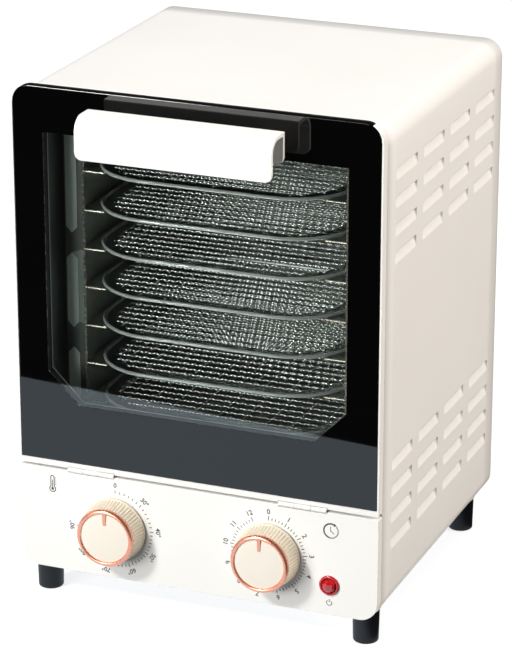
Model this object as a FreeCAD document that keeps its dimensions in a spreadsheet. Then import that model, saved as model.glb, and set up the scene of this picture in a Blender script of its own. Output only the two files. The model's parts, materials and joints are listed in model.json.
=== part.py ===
"""Food dehydrator with a drop-down glass door, seven mesh trays and a rear fan.

Millimetres. X is the width, +Y points to the back and +Z up. The origin is on
the surface that the feet stand on, at the middle of the appliance's outline.
"""
import FreeCAD, Part
import Sketcher
import math
import os
import re

os.makedirs("parts", exist_ok=True)

doc = FreeCAD.newDocument("food_dehydrator")
Vector = FreeCAD.Vector
Rotation = FreeCAD.Rotation

# --------------------------------------------------------------------------
# Driving dimensions
# --------------------------------------------------------------------------
DIMENSIONS = {
    # cabinet
    "cabinet_width": 242.0,
    "front_face": -100.0,       # y of the door's and the panel's faces
    "back_face": 126.0,
    "foot_height": 20.0,
    "cabinet_top": 335.0,
    "corner_radius": 12.0,
    "flange_width": 26.0,
    "sheet": 0.8,
    "shell_gap": 0.2,           # clearance between nested sheets
    "front_depth": 7.0,         # depth of the door and of the control panel
    "seam": 0.6,                # gap between the door and the cabinet
    # control panel
    "panel_top": 88.8,
    "panel_wall": 1.0,
    "knob_height": 54.0,
    "temp_knob_x": -55.5,
    "timer_knob_x": 49.0,
    "lamp_x": 89.5,
    "lamp_height": 40.0,
    # door
    "door_low": 90.5,
    "door_top": 339.0,
    "glass_low": 94.5,
    "glass_width": 239.4,
    "glass_thick": 4.0,
    "gasket_thick": 2.0,
    "door_radius": 11.0,
    "rail_height": 3.8,
    "window_width": 199.0,
    "window_low": 134.0,
    "window_top": 310.5,
    "window_chamfer": 21.0,
    # hinge
    "pivot_depth": 0.5,
    "pivot_height": 89.5,
    "barrel_radius": 1.6,
    "barrel_length": 31.6,
    "barrel_spacing": 143.0,
    "pin_radius": 0.8,
    # handle
    "handle_length": 126.5,
    "handle_stand": 11.0,
    "handle_depth": 21.0,
    "handle_top": 332.0,
    "handle_low": 306.0,
    "handle_back_low": 312.0,
    "handle_wall": 2.4,
    "handle_radius": 10.0,
    "post_spacing": 96.0,
    # drying chamber
    "liner_width": 209.6,
    "liner_low": 108.0,
    "liner_top": 322.0,
    "liner_back": 104.0,
    "liner_wall": 0.6,
    "cover_back": 88.0,         # back face of the fan cover
    "fan_height": 215.0,
    "rack_width": 177.6,        # between the outer faces of the two racks
    "rack_front": -69.0,
    "rack_back": 83.0,
    "ledge_width": 15.0,
    "ledge_wall": 1.0,
    # trays
    "tray_width": 170.0,
    "tray_front": -82.0,
    "tray_depth": 164.0,
    "tray_radius": 42.0,
    "tray_low": 126.4,          # underside of the lowest tray
    "tray_pitch": 25.4,
    "tray_lift": 0.3,           # running clearance over the ledge
    "rim_width": 2.0,
    "rim_height": 2.2,
    "border_width": 10.0,
    "border_wall": 0.8,
    "mesh_wall": 0.8,
    # louvres
    "louvre_length": 38.0,
    "louvre_height": 7.5,
    "louvre_first": -58.0,      # y of the middle of the first column
    "louvre_column": 50.0,
    "louvre_row": 17.5,
    "louvre_low": 59.5,         # underside of the lowest louvre
    "louvre_high": 246.0,       # underside of the upper group
    # feet
    "foot_radius": 8.7,
    "foot_x": 108.5,
    "foot_front": -85.0,
    "foot_back": 101.0,
    "washer_wall": 0.8,
    # knobs
    "knob_radius": 19.3,        # of the trim ring and the front of the grip
    "knob_flare": 20.8,         # of the back of the grip
    "knob_flange": 21.3,
    "knob_depth": 17.0,
    "knob_gap": 1.0,            # between the panel and the knob
    "shaft_radius": 3.0,
    # cord gland
    "gland_x": 70.0,
    "gland_height": 46.0,
    "gland_bore": 3.6,
    "gland_stand": 6.0,
}
TRAY_COUNT = 7
LOUVRE_ROWS = 4
LOUVRE_COLUMNS = 4
FAN_BLADES = 9

dims = doc.addObject("Spreadsheet::Sheet", "dims")
for row, (alias, number) in enumerate(DIMENSIONS.items(), start=1):
    dims.set(f"A{row}", alias)
    dims.set(f"B{row}", str(number))
    dims.setAlias(f"B{row}", alias)
doc.recompute()


# --------------------------------------------------------------------------
# Helpers
# --------------------------------------------------------------------------
def sheet_formula(formula):
    """Writes a formula's dimension names as cells of the sheet."""
    return re.sub(r"[a-z][a-z_]+", lambda word: sheet_word(word.group()), str(formula))


def sheet_word(word):
    return f"dims.{word}" if word in DIMENSIONS else word


def bind(item, prop, formula):
    item.setExpression(prop, sheet_formula(formula))


def number_of(formula):
    """The value of a formula, for the first guess of a sketch."""
    return float(dims.evalExpression(sheet_formula(formula)))


def place(item, position):
    for axis, formula in zip("xyz", position):
        bind(item, f"Placement.Base.{axis}", formula)


def make_box(name, low, high):
    """A box between two corners, each given as three formulas."""
    item = doc.addObject("Part::Box", name)
    for prop, start, end in zip(("Length", "Width", "Height"), low, high):
        bind(item, prop, f"({end}) - ({start})")
    place(item, low)
    return item


def make_cylinder(name, radius, length, base, axis="z"):
    """A cylinder that starts at base and runs along +x, +y or +z."""
    item = doc.addObject("Part::Cylinder", name)
    bind(item, "Radius", radius)
    bind(item, "Height", length)
    item.Placement = FreeCAD.Placement(Vector(), axis_turn(axis))
    place(item, base)
    return item


def make_cone(name, first_radius, last_radius, length, base, axis="z"):
    item = doc.addObject("Part::Cone", name)
    bind(item, "Radius1", first_radius)
    bind(item, "Radius2", last_radius)
    bind(item, "Height", length)
    item.Placement = FreeCAD.Placement(Vector(), axis_turn(axis))
    place(item, base)
    return item


def axis_turn(axis):
    turns = {
        "x": Rotation(Vector(0, 1, 0), 90),
        "y": Rotation(Vector(1, 0, 0), -90),
        "z": Rotation(),
    }
    return turns[axis]


def fuse(name, items):
    item = doc.addObject("Part::MultiFuse", name)
    item.Shapes = items
    return item


def group(name, items):
    """Separate equal solids that share one node."""
    item = doc.addObject("Part::Compound", name)
    item.Links = items
    return item


def cut(name, base, tools):
    """Takes one tool, or a list of them, away from base."""
    if isinstance(tools, list):
        tools = tools[0] if len(tools) == 1 else fuse(f"{name}_tools", tools)
    item = doc.addObject("Part::Cut", name)
    item.Base = base
    item.Tool = tools
    return item


def mirror(name, source):
    """The mirror image across the plane x = 0."""
    item = doc.addObject("Part::Mirroring", name)
    item.Source = source
    item.Base = Vector(0, 0, 0)
    item.Normal = Vector(1, 0, 0)
    return item


def new_body(name):
    return doc.addObject("PartDesign::Body", name)


def new_sketch(body, name, role, offset=0):
    """A sketch on one of the body's origin planes, moved along its normal."""
    sketch = body.newObject("Sketcher::SketchObject", name)
    plane = next(item for item in body.Origin.OriginFeatures if item.Role == role)
    sketch.AttachmentSupport = [(plane, "")]
    sketch.MapMode = "FlatFace"
    bind(sketch, "AttachmentOffset.Base.z", offset)
    return sketch


def outline(sketch, corners):
    """A closed outline whose corners are (x, y, radius) formulas, anticlockwise.

    A corner's radius of None leaves it sharp. Each corner's place and each
    radius is a constraint that follows the sheet.
    """
    points = [Vector(number_of(x), number_of(y), 0) for x, y, _ in corners]
    count = len(corners)
    starts, ends = [], []
    for index, (_, _, radius) in enumerate(corners):
        before = (points[index - 1] - points[index]).normalize()
        after = (points[(index + 1) % count] - points[index]).normalize()
        reach = 0.0
        if radius is not None:
            half_turn = before.getAngle(after) / 2
            reach = number_of(radius) / math.tan(half_turn)
        starts.append(points[index] + before * reach)
        ends.append(points[index] + after * reach)
    lines = []
    for index in range(count):
        line = Part.LineSegment(ends[index], starts[(index + 1) % count])
        lines.append(sketch.addGeometry(line, False))
    for index, (x, y, radius) in enumerate(corners):
        arriving, leaving = lines[index - 1], lines[index]
        if radius is None:
            sketch.addConstraint(Sketcher.Constraint("Coincident", arriving, 2, leaving, 1))
            fix_point(sketch, leaving, 1, x, y)
            continue
        vertex = sketch.addGeometry(Part.Point(points[index]), True)
        fix_point(sketch, vertex, 1, x, y)
        sketch.addConstraint(Sketcher.Constraint("PointOnObject", vertex, 1, arriving))
        sketch.addConstraint(Sketcher.Constraint("PointOnObject", vertex, 1, leaving))
        middle = corner_middle(points[index], starts[index], ends[index], number_of(radius))
        arc_shape = Part.Arc(starts[index], middle, ends[index])
        arc = sketch.addGeometry(arc_shape, False)
        first, last = arc_order(sketch, arc, starts[index])
        sketch.addConstraint(Sketcher.Constraint("Tangent", arriving, 2, arc, first))
        sketch.addConstraint(Sketcher.Constraint("Tangent", leaving, 1, arc, last))
        size = sketch.addConstraint(Sketcher.Constraint("Radius", arc, number_of(radius)))
        bind(sketch, f"Constraints[{size}]", radius)


def corner_middle(corner, start, end, radius):
    """The middle of the arc that rounds a corner."""
    inward = (start + end) * 0.5 - corner
    reach = (start - corner).Length
    to_centre = math.hypot(reach, radius)
    return corner + inward.normalize() * (to_centre - radius)


def arc_order(sketch, arc, start):
    """Which end of an arc lies at start: its first or its second point."""
    if sketch.getPoint(arc, 1).isEqual(start, 1e-4):
        return 1, 2
    return 2, 1


def fix_point(sketch, geometry, point, x, y):
    """Holds a point at a place worked out from the sheet."""
    for kind, formula in (("DistanceX", x), ("DistanceY", y)):
        value = number_of(formula)
        if abs(value) < 1e-9:
            other = -2 if kind == "DistanceX" else -1
            sketch.addConstraint(Sketcher.Constraint("PointOnObject", geometry, point, other))
            continue
        held = Sketcher.Constraint(kind, -1, 1, geometry, point, value)
        bind(sketch, f"Constraints[{sketch.addConstraint(held)}]", formula)


def pad(body, sketch, name, length, reverse=False, both_ways=False):
    item = body.newObject("PartDesign::Pad", name)
    item.Profile = sketch
    bind(item, "Length", length)
    item.Reversed = reverse
    item.Midplane = both_ways
    return item


def rounded_plate(name, left, right, low, high, radii, front, thickness):
    """An upright plate that faces -y, with its corner radii from lower left
    anticlockwise, from y = front backwards."""
    body = new_body(name)
    sketch = new_sketch(body, f"{name}_outline", "XZ_Plane", f"-({front})")
    corners = ((left, low), (right, low), (right, high), (left, high))
    outline(sketch, [(x, y, radius) for (x, y), radius in zip(corners, radii)])
    pad(body, sketch, f"{name}_pad", thickness, reverse=True)
    return body


nodes = {}


def node(label, item):
    """Gives a finished sub-part its name."""
    item.Label = label
    nodes[label] = item
    return item


SHELL_FRONT = "front_face + front_depth + seam"
INSIDE = "cabinet_width / 2 - sheet - shell_gap"


# --------------------------------------------------------------------------
# Cabinet
# --------------------------------------------------------------------------
def louvre_places():
    for group_low in ("louvre_low", "louvre_high"):
        for row_index in range(LOUVRE_ROWS):
            low = f"{group_low} + {row_index} * louvre_row"
            for column in range(LOUVRE_COLUMNS):
                middle = f"louvre_first + {column} * louvre_column"
                yield middle, low


def cabinet_wrapper():
    """One bent sheet makes the top, both sides and two flanges underneath, with
    rows of louvres whose blades lean inwards from their lower edge."""
    body = new_body("wrapper_sheet")
    sketch = new_sketch(body, "wrapper_profile", "XZ_Plane", f"-({SHELL_FRONT})")
    side = "cabinet_width / 2"
    inner = f"{side} - sheet"
    inner_top = "cabinet_top - sheet"
    inner_low = "foot_height + sheet"
    inner_radius = "corner_radius - sheet"
    flange_end = f"{side} - flange_width"
    outline(sketch, [
        (f"-({flange_end})", "foot_height", None),
        (f"-({flange_end})", inner_low, None),
        (f"-({inner})", inner_low, inner_radius),
        (f"-({inner})", inner_top, inner_radius),
        (inner, inner_top, inner_radius),
        (inner, inner_low, inner_radius),
        (flange_end, inner_low, None),
        (flange_end, "foot_height", None),
        (side, "foot_height", "corner_radius"),
        (side, "cabinet_top", "corner_radius"),
        (f"-{side}", "cabinet_top", "corner_radius"),
        (f"-{side}", "foot_height", "corner_radius"),
    ])
    pad(body, sketch, "wrapper_pad", f"back_face - ({SHELL_FRONT})", reverse=True)
    windows, blades = [], []
    lean = 26
    for index, (middle, low) in enumerate(louvre_places()):
        window_low = ("-cabinet_width", f"{middle} - louvre_length / 2", low)
        window_high = ("cabinet_width", f"{middle} + louvre_length / 2", f"{low} + louvre_height")
        windows.append(make_box(f"louvre_window_{index}", window_low, window_high))
        for hand in (-1, 1):
            blade = doc.addObject("Part::Box", f"louvre_blade_{index}_{'lr'[hand > 0]}")
            bind(blade, "Length", "sheet")
            bind(blade, "Width", "louvre_length")
            bind(blade, "Height", "louvre_height + sheet")
            blade.Placement.Rotation = Rotation(Vector(0, 1, 0), -hand * lean)
            start = "cabinet_width / 2 - sheet" if hand > 0 else "-cabinet_width / 2"
            place(blade, (start, f"{middle} - louvre_length / 2", f"{low} - sheet / 2"))
            blades.append(blade)
    for index, (x, y) in enumerate(foot_places()):
        windows.append(make_cylinder(f"wrapper_hole_{index}", 2.1, "4 * sheet",
                                     (x, y, "foot_height - sheet")))
    pierced = cut("wrapper_pierced", body, windows)
    node("cabinet_wrapper", fuse("wrapper_louvred", [pierced] + blades))


def base_pan():
    """The floor of the cabinet, with turned-up sides and air slots. It lies on
    the wrapper's two flanges."""
    front, back = f"{SHELL_FRONT} + sheet", "back_face - 2 * sheet - shell_gap"
    floor_low = "foot_height + sheet"
    edge = "cabinet_width / 2 - corner_radius - 4"
    floor = make_box("pan_floor", (f"-({edge})", front, floor_low), (edge, back, f"{floor_low} + sheet"))
    flange = 11
    right = make_box("pan_right", (f"{edge} - sheet", front, floor_low),
                     (edge, back, f"{floor_low} + {flange}"))
    left = make_box("pan_left", (f"-({edge})", front, floor_low),
                    (f"-({edge} - sheet)", back, f"{floor_low} + {flange}"))
    holes = []
    slot_count, slot_pitch, slot_width, slot_length = 9, 9, 3, 46
    for side in (-1, 1):
        for index in range(slot_count):
            y = 10 + index * slot_pitch
            x = side * 45
            low = (f"{x - slot_length / 2}", f"{y}", "foot_height")
            high = (f"{x + slot_length / 2}", f"{y + slot_width}", "foot_height + 3 * sheet")
            holes.append(make_box(f"pan_slot_{index}_{'lr'[side > 0]}", low, high))
    node("base_pan", cut("pan", fuse("pan_blank", [floor, right, left]), holes))


def back_panel():
    """The removable back sheet, with air slots round the motor and the hole of
    the cord gland."""
    radius = "corner_radius - sheet - shell_gap"
    plate = rounded_plate("back_plate", f"-({INSIDE})", INSIDE, "foot_height + sheet + shell_gap",
                          "cabinet_top - sheet - shell_gap", (radius, radius, radius, radius),
                          "back_face - sheet", "sheet")
    holes = [make_cylinder("gland_hole", 6, "4 * sheet",
                           ("gland_x", "back_face - 2 * sheet", "gland_height"), "y")]
    slot_length, slot_width, slot_pitch, rows = 30, 3.2, 8, 9
    for column in (-1.5, -0.5, 0.5, 1.5):
        for index in range(rows):
            middle = column * 37
            z = (index - (rows - 1) / 2) * slot_pitch
            low = (f"{middle - slot_length / 2}", "back_face - 2 * sheet",
                   f"fan_height + {z - slot_width / 2}")
            high = (f"{middle + slot_length / 2}", "back_face + sheet",
                    f"fan_height + {z + slot_width / 2}")
            holes.append(make_box(f"back_slot_{index}_{int(column * 2 + 3)}", low, high))
    node("back_panel", cut("back_sheet", plate, holes))


def front_frame():
    """The painted sheet between the cabinet and the mouth of the chamber."""
    front = f"{SHELL_FRONT} + 1"
    radius = "corner_radius - sheet - shell_gap"
    plate = rounded_plate("frame_plate", f"-({INSIDE})", INSIDE, "panel_top + 0.4",
                          "cabinet_top - sheet - shell_gap", (None, None, radius, radius),
                          front, "sheet")
    mouth = make_box("frame_mouth", ("-liner_width / 2 + 1.4", f"{front} - 1", "liner_low + 4"),
                     ("liner_width / 2 - 1.4", f"{front} + sheet + 1", "liner_top - 3"))
    node("front_frame", cut("frame_sheet", plate, mouth))
    seal_front = f"{SHELL_FRONT} - 0.3"
    outer = make_box("seal_outer", ("-liner_width / 2 - 5", seal_front, "liner_low - 2"),
                     ("liner_width / 2 + 5", front, "liner_top + 3"))
    inner = make_box("seal_inner", ("-liner_width / 2", f"{seal_front} - 1", "liner_low + 3"),
                     ("liner_width / 2", f"{front} + 1", "liner_top - 2"))
    node("door_seal", cut("seal_ring", outer, inner))
    magnet = make_box("magnet_block", ("-14", seal_front, "liner_top + 4"),
                      ("14", front, "liner_top + 10"))
    node("door_magnet", magnet)


def cavity_liner():
    """The steel box of the drying chamber, open to the front."""
    front, wall = f"{SHELL_FRONT} + 1 + sheet", "liner_wall"
    outer = make_box("liner_outer", ("-liner_width / 2", front, "liner_low"),
                     ("liner_width / 2", "liner_back", "liner_top"))
    inner = make_box("liner_inner", (f"-liner_width / 2 + {wall}", f"{front} - 1", f"liner_low + {wall}"),
                     (f"liner_width / 2 - {wall}", f"liner_back - {wall}", f"liner_top - {wall}"))
    holes = [inner, make_cylinder("liner_shaft_hole", 5, 4, ("0", "liner_back - 2", "fan_height"), "y")]
    for side in (-1, 1):
        holes.append(make_cylinder(f"liner_lead_hole_{'lr'[side > 0]}", 4, 4,
                                   (f"{side} * {HEATER_LEG}", "liner_back - 2",
                                    f"fan_height - {HEATER_DROP}"), "y"))
    node("cavity_liner", cut("liner", outer, holes))


def fan_cover():
    """The sheet in front of the fan, with a round grille and outlet slots at
    its sides."""
    edge = "liner_width / 2 - liner_wall - 0.3"
    plate = make_box("cover_plate", (f"-({edge})", "cover_back - sheet", "liner_low + liner_wall + 0.3"),
                     (edge, "cover_back", "liner_top - liner_wall - 0.3"))
    holes = []
    half_chords = []
    slot_pitch, slot_width, grille_radius = 8, 4, 40
    for index in range(-4, 5):
        half_chords.append((index * slot_pitch, math.sqrt(grille_radius ** 2 - (index * slot_pitch) ** 2)))
    for index, (z, half) in enumerate(half_chords):
        low = (f"{-half:.2f}", "cover_back - 3 * sheet", f"fan_height + {z - slot_width / 2}")
        high = (f"{half:.2f}", "cover_back + sheet", f"fan_height + {z + slot_width / 2}")
        holes.append(make_box(f"grille_slot_{index}", low, high))
    outlet_length, outlet_rows, outlet_pitch = 12, 16, 12
    for side in (-1, 1):
        for index in range(outlet_rows):
            z = (index - (outlet_rows - 1) / 2) * outlet_pitch
            x = side * 93
            low = (f"{x - outlet_length / 2}", "cover_back - 3 * sheet",
                   f"fan_height + {z - slot_width / 2}")
            high = (f"{x + outlet_length / 2}", "cover_back + sheet",
                    f"fan_height + {z + slot_width / 2}")
            holes.append(make_box(f"outlet_slot_{index}_{'lr'[side > 0]}", low, high))
    node("fan_cover", cut("cover", plate, holes))


def tray_level(index):
    """Underside of a tray's rim, counted from the lowest tray."""
    return f"tray_low + {index} * tray_pitch"


def rack_panel(name, low, high):
    """A raised panel with pointed ends on the right rack's front flange."""
    body = new_body(name)
    sketch = new_sketch(body, f"{name}_outline", "XZ_Plane", "-(rack_front - 0.5)")
    left, right, tip = "rack_width / 2 + 3.2", "rack_width / 2 + 11", 4
    middle = f"(({left}) + ({right})) / 2"
    outline(sketch, [
        (middle, f"{low}", None),
        (right, f"{low + tip}", None),
        (right, f"{high - tip}", None),
        (middle, f"{high}", None),
        (left, f"{high - tip}", None),
        (left, f"{low + tip}", None),
    ])
    pad(body, sketch, f"{name}_pad", "0.5 + sheet / 2", reverse=True)
    return body


def racks():
    """A pair of upright sheets beside the trays. Each has a front flange turned
    outwards, with raised panels, and one ledge under every tray."""
    face = "rack_width / 2"
    upright = make_box("rack_upright", (f"{face} - sheet", "rack_front", "liner_low + 4"),
                       (face, "rack_back", "liner_top - 4"))
    flange = make_box("rack_flange", (f"{face} - sheet", "rack_front", "liner_low + 4"),
                      (f"{face} + 12", "rack_front + sheet", "liner_top - 4"))
    pieces = [upright, flange]
    across = "rack_width / 2 - sheet - ledge_width - (tray_width / 2 - tray_radius)"
    stop = f"tray_front + tray_depth - tray_radius + sqrt(tray_radius ^ 2 - ({across}) ^ 2) + 0.4"
    for index in range(TRAY_COUNT):
        top = f"{tray_level(index)} - tray_lift"
        pieces.append(make_box(f"rack_ledge_{index}",
                               (f"{face} - sheet - ledge_width", "rack_front", f"{top} - ledge_wall"),
                               (f"{face} - sheet / 2", "rack_back - 3", top)))
        stop_top = f"{tray_level(index)} + 4"
        pieces.append(make_box(f"rack_stop_{index}",
                               (f"{face} - sheet - ledge_width", stop, f"{top} - ledge_wall"),
                               (f"{face} - sheet / 2", f"{stop} + 1", stop_top)))
    for index, (low, high) in enumerate(((118, 161), (174, 224), (237, 312))):
        pieces.append(rack_panel(f"rack_panel_{index}", low, high))
    right = fuse("rack_sheet_right", pieces)
    node("rack_right", right)
    node("rack_left", mirror("rack_sheet_left", right))


# --------------------------------------------------------------------------
# Door
# --------------------------------------------------------------------------
def door_glass():
    """The pane, and the black gasket that it is bonded to."""
    edge = "glass_width / 2"
    radii = (None, None, "door_radius", "door_radius")
    pane = rounded_plate("glass_pane", f"-{edge}", edge, "glass_low", "door_top", radii,
                         "front_face", "glass_thick")
    holes = [post_hole(f"glass_hole_{name}", x) for name, x in post_places()]
    node("door_glass", cut("glass_drilled", pane, holes))
    front = "front_face + glass_thick"
    blank = rounded_plate("gasket_plate", f"-{edge}", edge, "glass_low", "door_top", radii,
                          front, "gasket_thick")
    window = window_cutter("gasket_window", f"{front} - 1", "gasket_thick + 2")
    holes = [window] + [post_hole(f"gasket_hole_{name}", x) for name, x in post_places()]
    node("glass_gasket", cut("gasket", blank, holes))


def window_cutter(name, front, length):
    """The clear window, with its two lower corners cut off."""
    body = new_body(name)
    sketch = new_sketch(body, f"{name}_outline", "XZ_Plane", f"-({front})")
    edge, chamfer = "window_width / 2", "window_chamfer"
    outline(sketch, [
        (f"-{edge} + {chamfer}", "window_low", None),
        (f"{edge} - {chamfer}", "window_low", None),
        (edge, f"window_low + {chamfer}", None),
        (edge, "window_top", None),
        (f"-{edge}", "window_top", None),
        (f"-{edge}", f"window_low + {chamfer}", None),
    ])
    pad(body, sketch, f"{name}_pad", length, reverse=True)
    return body


def post_places():
    return (("l", "-post_spacing / 2"), ("r", "post_spacing / 2"))


def post_hole(name, x):
    return make_cylinder(name, 2.2, "3 * front_depth",
                         (x, "front_face - front_depth", POST_HEIGHT), "y")


def hinge_places():
    return (("l", "-barrel_spacing / 2"), ("r", "barrel_spacing / 2"))


def hinge_notch(name, x):
    """Room for a hinge barrel in the edge of a sheet."""
    reach = "barrel_radius + 0.4"
    half = "barrel_length / 2 + 0.4"
    return make_box(name, (f"{x} - ({half})", "front_face - 2", f"pivot_height - ({reach})"),
                    (f"{x} + {half}", f"front_face + pivot_depth + {reach}",
                     f"pivot_height + {reach}"))


def door_frame():
    """The painted pan behind the glass, with side walls that cover the edges of
    the glass and a hollow bottom rail."""
    edge, back = "cabinet_width / 2", "front_face + front_depth"
    radii = (1, 1, "door_radius", "door_radius")
    blank = rounded_plate("door_blank", f"-{edge}", edge, "door_low", "door_top - 0.5", radii,
                          "front_face + 0.2", "front_depth - 0.2")
    seat_back = "front_face + glass_thick + gasket_thick"
    seat_edge = "glass_width / 2 + 0.2"
    seat = make_box("glass_seat", (f"-({seat_edge})", "front_face - 1", "door_low + rail_height"),
                    (seat_edge, seat_back, "door_top + 1"))
    top_seat = make_box("glass_top_seat", (f"-{edge} - 1", "front_face - 1", "door_top - door_radius"),
                        (f"{edge} + 1", seat_back, "door_top + 1"))
    rail_room = make_box("rail_room", (f"-({seat_edge})", "front_face + 1.2", "door_low + 1"),
                         (seat_edge, seat_back, "door_low + rail_height + 1"))
    window = window_cutter("frame_window", f"{seat_back} - 1", "front_depth")
    tools = [seat, top_seat, rail_room, window]
    tools += [post_hole(f"frame_hole_{name}", x) for name, x in post_places()]
    tools += [hinge_notch(f"rail_notch_{name}", x) for name, x in hinge_places()]
    node("door_frame", cut("door_pan", blank, tools))
    blocks = []
    for side in (-1, 1):
        middle = side * 30
        blocks.append(make_box(f"setting_block_{'lr'[side > 0]}",
                               (f"{middle - 7}", "front_face + 1.4", "door_low + 1"),
                               (f"{middle + 7}", f"{back} - 1.2", "glass_low")))
    node("glass_setting_blocks", group("setting_blocks", blocks))


def hinges():
    """Two barrel hinges in the gap under the door. The middle knuckle of each
    belongs to the door and the outer two to the cabinet."""
    pivot_y = "front_face + pivot_depth"
    door_leaves, base_leaves, pins = [], [], []
    middle_half, knuckle_gap = "barrel_length / 6", 0.35
    for name, x in hinge_places():
        half = "barrel_length / 2"
        middle = make_cylinder(f"door_knuckle_{name}", "barrel_radius", f"2 * {middle_half}",
                               (f"{x} - {middle_half}", pivot_y, "pivot_height"), "x")
        neck = make_box(f"door_neck_{name}", (f"{x} - {middle_half}", f"{pivot_y} + 0.75", "pivot_height"),
                        (f"{x} + {middle_half}", f"{pivot_y} + barrel_radius", "door_low + 2.4"))
        leaf = make_box(f"door_leaf_{name}", (f"{x} - {half}", f"{pivot_y} + 0.8", "door_low + 1.4"),
                        (f"{x} + {half}", "front_face + 5.8", "door_low + 2.4"))
        blank = fuse(f"door_leaf_blank_{name}", [middle, neck, leaf])
        bore = make_cylinder(f"door_bore_{name}", "pin_radius + 0.08", "barrel_length",
                             (f"{x} - {half}", pivot_y, "pivot_height"), "x")
        door_leaves.append(cut(f"door_leaf_cut_{name}", blank, bore))
        outer = make_cylinder(f"base_knuckles_{name}", "barrel_radius", "barrel_length",
                              (f"{x} - {half}", pivot_y, "pivot_height"), "x")
        plate = make_box(f"base_leaf_{name}",
                         (f"{x} - {half}", "front_face + panel_wall + 0.1", "panel_top - 10"),
                         (f"{x} + {half}", "front_face + panel_wall + 1.1", "pivot_height"))
        room_half = f"{middle_half} + {knuckle_gap}"
        room = make_box(f"knuckle_room_{name}",
                        (f"{x} - ({room_half})", "front_face - 5", "pivot_height - 2.6"),
                        (f"{x} + {room_half}", "front_face + 8", "pivot_height + 5"))
        pin_bore = make_cylinder(f"base_bore_{name}", "pin_radius", "barrel_length",
                                 (f"{x} - {half}", pivot_y, "pivot_height"), "x")
        base_leaves.append(cut(f"base_leaf_cut_{name}", fuse(f"base_leaf_blank_{name}", [outer, plate]),
                               [room, pin_bore]))
        pins.append(make_cylinder(f"hinge_pin_{name}", "pin_radius", "barrel_length",
                                  (f"{x} - {half}", pivot_y, "pivot_height"), "x"))
    node("door_hinge_leaves", group("door_leaves", door_leaves))
    node("base_hinge_leaves", group("base_leaves", base_leaves))
    node("hinge_pins", group("pins", pins))


POST_HEIGHT = "handle_back_low + 8"


def handle():
    """A channel that is open downwards and at both ends, on two posts, with a
    broad round edge to the front."""
    body = new_body("handle_channel")
    sketch = new_sketch(body, "handle_profile", "YZ_Plane")
    back = "front_face - handle_stand"
    front = f"{back} - handle_depth"
    wall = "handle_wall"
    inner_radius = f"handle_radius - {wall}"
    outline(sketch, [
        (front, "handle_low", None),
        (f"{front} + {wall}", "handle_low", None),
        (f"{front} + {wall}", f"handle_top - {wall}", inner_radius),
        (f"{back} - {wall}", f"handle_top - {wall}", 2),
        (f"{back} - {wall}", "handle_back_low", None),
        (back, "handle_back_low", None),
        (back, "handle_top", 0.8),
        (front, "handle_top", "handle_radius"),
    ])
    channel = pad(body, sketch, "handle_pad", "handle_length", both_ways=True)
    doc.recompute()
    corners = corner_edges(channel.Shape)
    rounding = body.newObject("PartDesign::Fillet", "handle_corners")
    rounding.Base = (channel, corners)
    rounding.Radius = 4.5
    holes = [make_cylinder(f"handle_hole_{name}", 1.6, "handle_depth / 2",
                           (x, f"{back} - handle_depth / 2", POST_HEIGHT), "y")
             for name, x in post_places()]
    node("handle", cut("handle_drilled", body, holes))
    posts, screws = [], []
    for name, x in post_places():
        post = make_cylinder(f"post_{name}", 5, "handle_stand", (x, back, POST_HEIGHT), "y")
        bore = make_cylinder(f"post_bore_{name}", 1.6, "3 * handle_stand",
                             (x, f"{back} - handle_stand", POST_HEIGHT), "y")
        posts.append(cut(f"post_drilled_{name}", post, bore))
        shank = make_cylinder(f"handle_screw_shank_{name}", 1.6, f"{wall} + handle_stand + front_depth",
                              (x, f"{back} - {wall}", POST_HEIGHT), "y")
        head = make_cylinder(f"handle_screw_head_{name}", 3.2, 1.6,
                             (x, f"{back} - {wall} - 1.6", POST_HEIGHT), "y")
        screws.append(fuse(f"handle_screw_{name}", [shank, head]))
    node("handle_posts", group("posts", posts))
    node("handle_screws", group("handle_screw_pair", screws))


def corner_edges(shape):
    """The edges along y at the lower corners of the two walls of the channel."""
    names = []
    half = number_of("handle_length / 2")
    for index, edge in enumerate(shape.Edges, start=1):
        low, high = edge.Vertexes[0].Point, edge.Vertexes[-1].Point
        along_y = abs(low.x - high.x) < 1e-6 and abs(low.z - high.z) < 1e-6
        at_end = abs(abs(low.x) - half) < 1e-6
        at_foot = min(abs(low.z - number_of("handle_low")), abs(low.z - number_of("handle_back_low"))) < 1e-6
        if along_y and at_end and at_foot and edge.Length > 1:
            names.append(f"Edge{index}")
    return names


# --------------------------------------------------------------------------
# Control panel
# --------------------------------------------------------------------------
def control_panel():
    """A shallow painted pan that closes the lower front of the cabinet."""
    edge = "cabinet_width / 2"
    radii = ("corner_radius", "corner_radius", 1, 1)
    blank = rounded_plate("panel_blank", f"-{edge}", edge, "foot_height", "panel_top", radii,
                          "front_face", "front_depth")
    inner_edge = f"{edge} - panel_wall"
    inner_radius = "corner_radius - panel_wall"
    room = rounded_plate("panel_room", f"-({inner_edge})", inner_edge, "foot_height + panel_wall",
                         "panel_top - panel_wall", (inner_radius, inner_radius, None, None),
                         "front_face + panel_wall", "front_depth")
    tools = [room]
    for name, x in (("temp", "temp_knob_x"), ("timer", "timer_knob_x")):
        tools.append(make_cylinder(f"{name}_shaft_hole", 4.7, 4, (x, "front_face - 1", "knob_height"), "y"))
    tools.append(make_cylinder("lamp_hole", 5.1, 4, ("lamp_x", "front_face - 1", "lamp_height"), "y"))
    tools += [hinge_notch(f"panel_notch_{name}", x) for name, x in hinge_places()]
    node("control_panel", cut("panel_pan", blank, tools))


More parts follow.
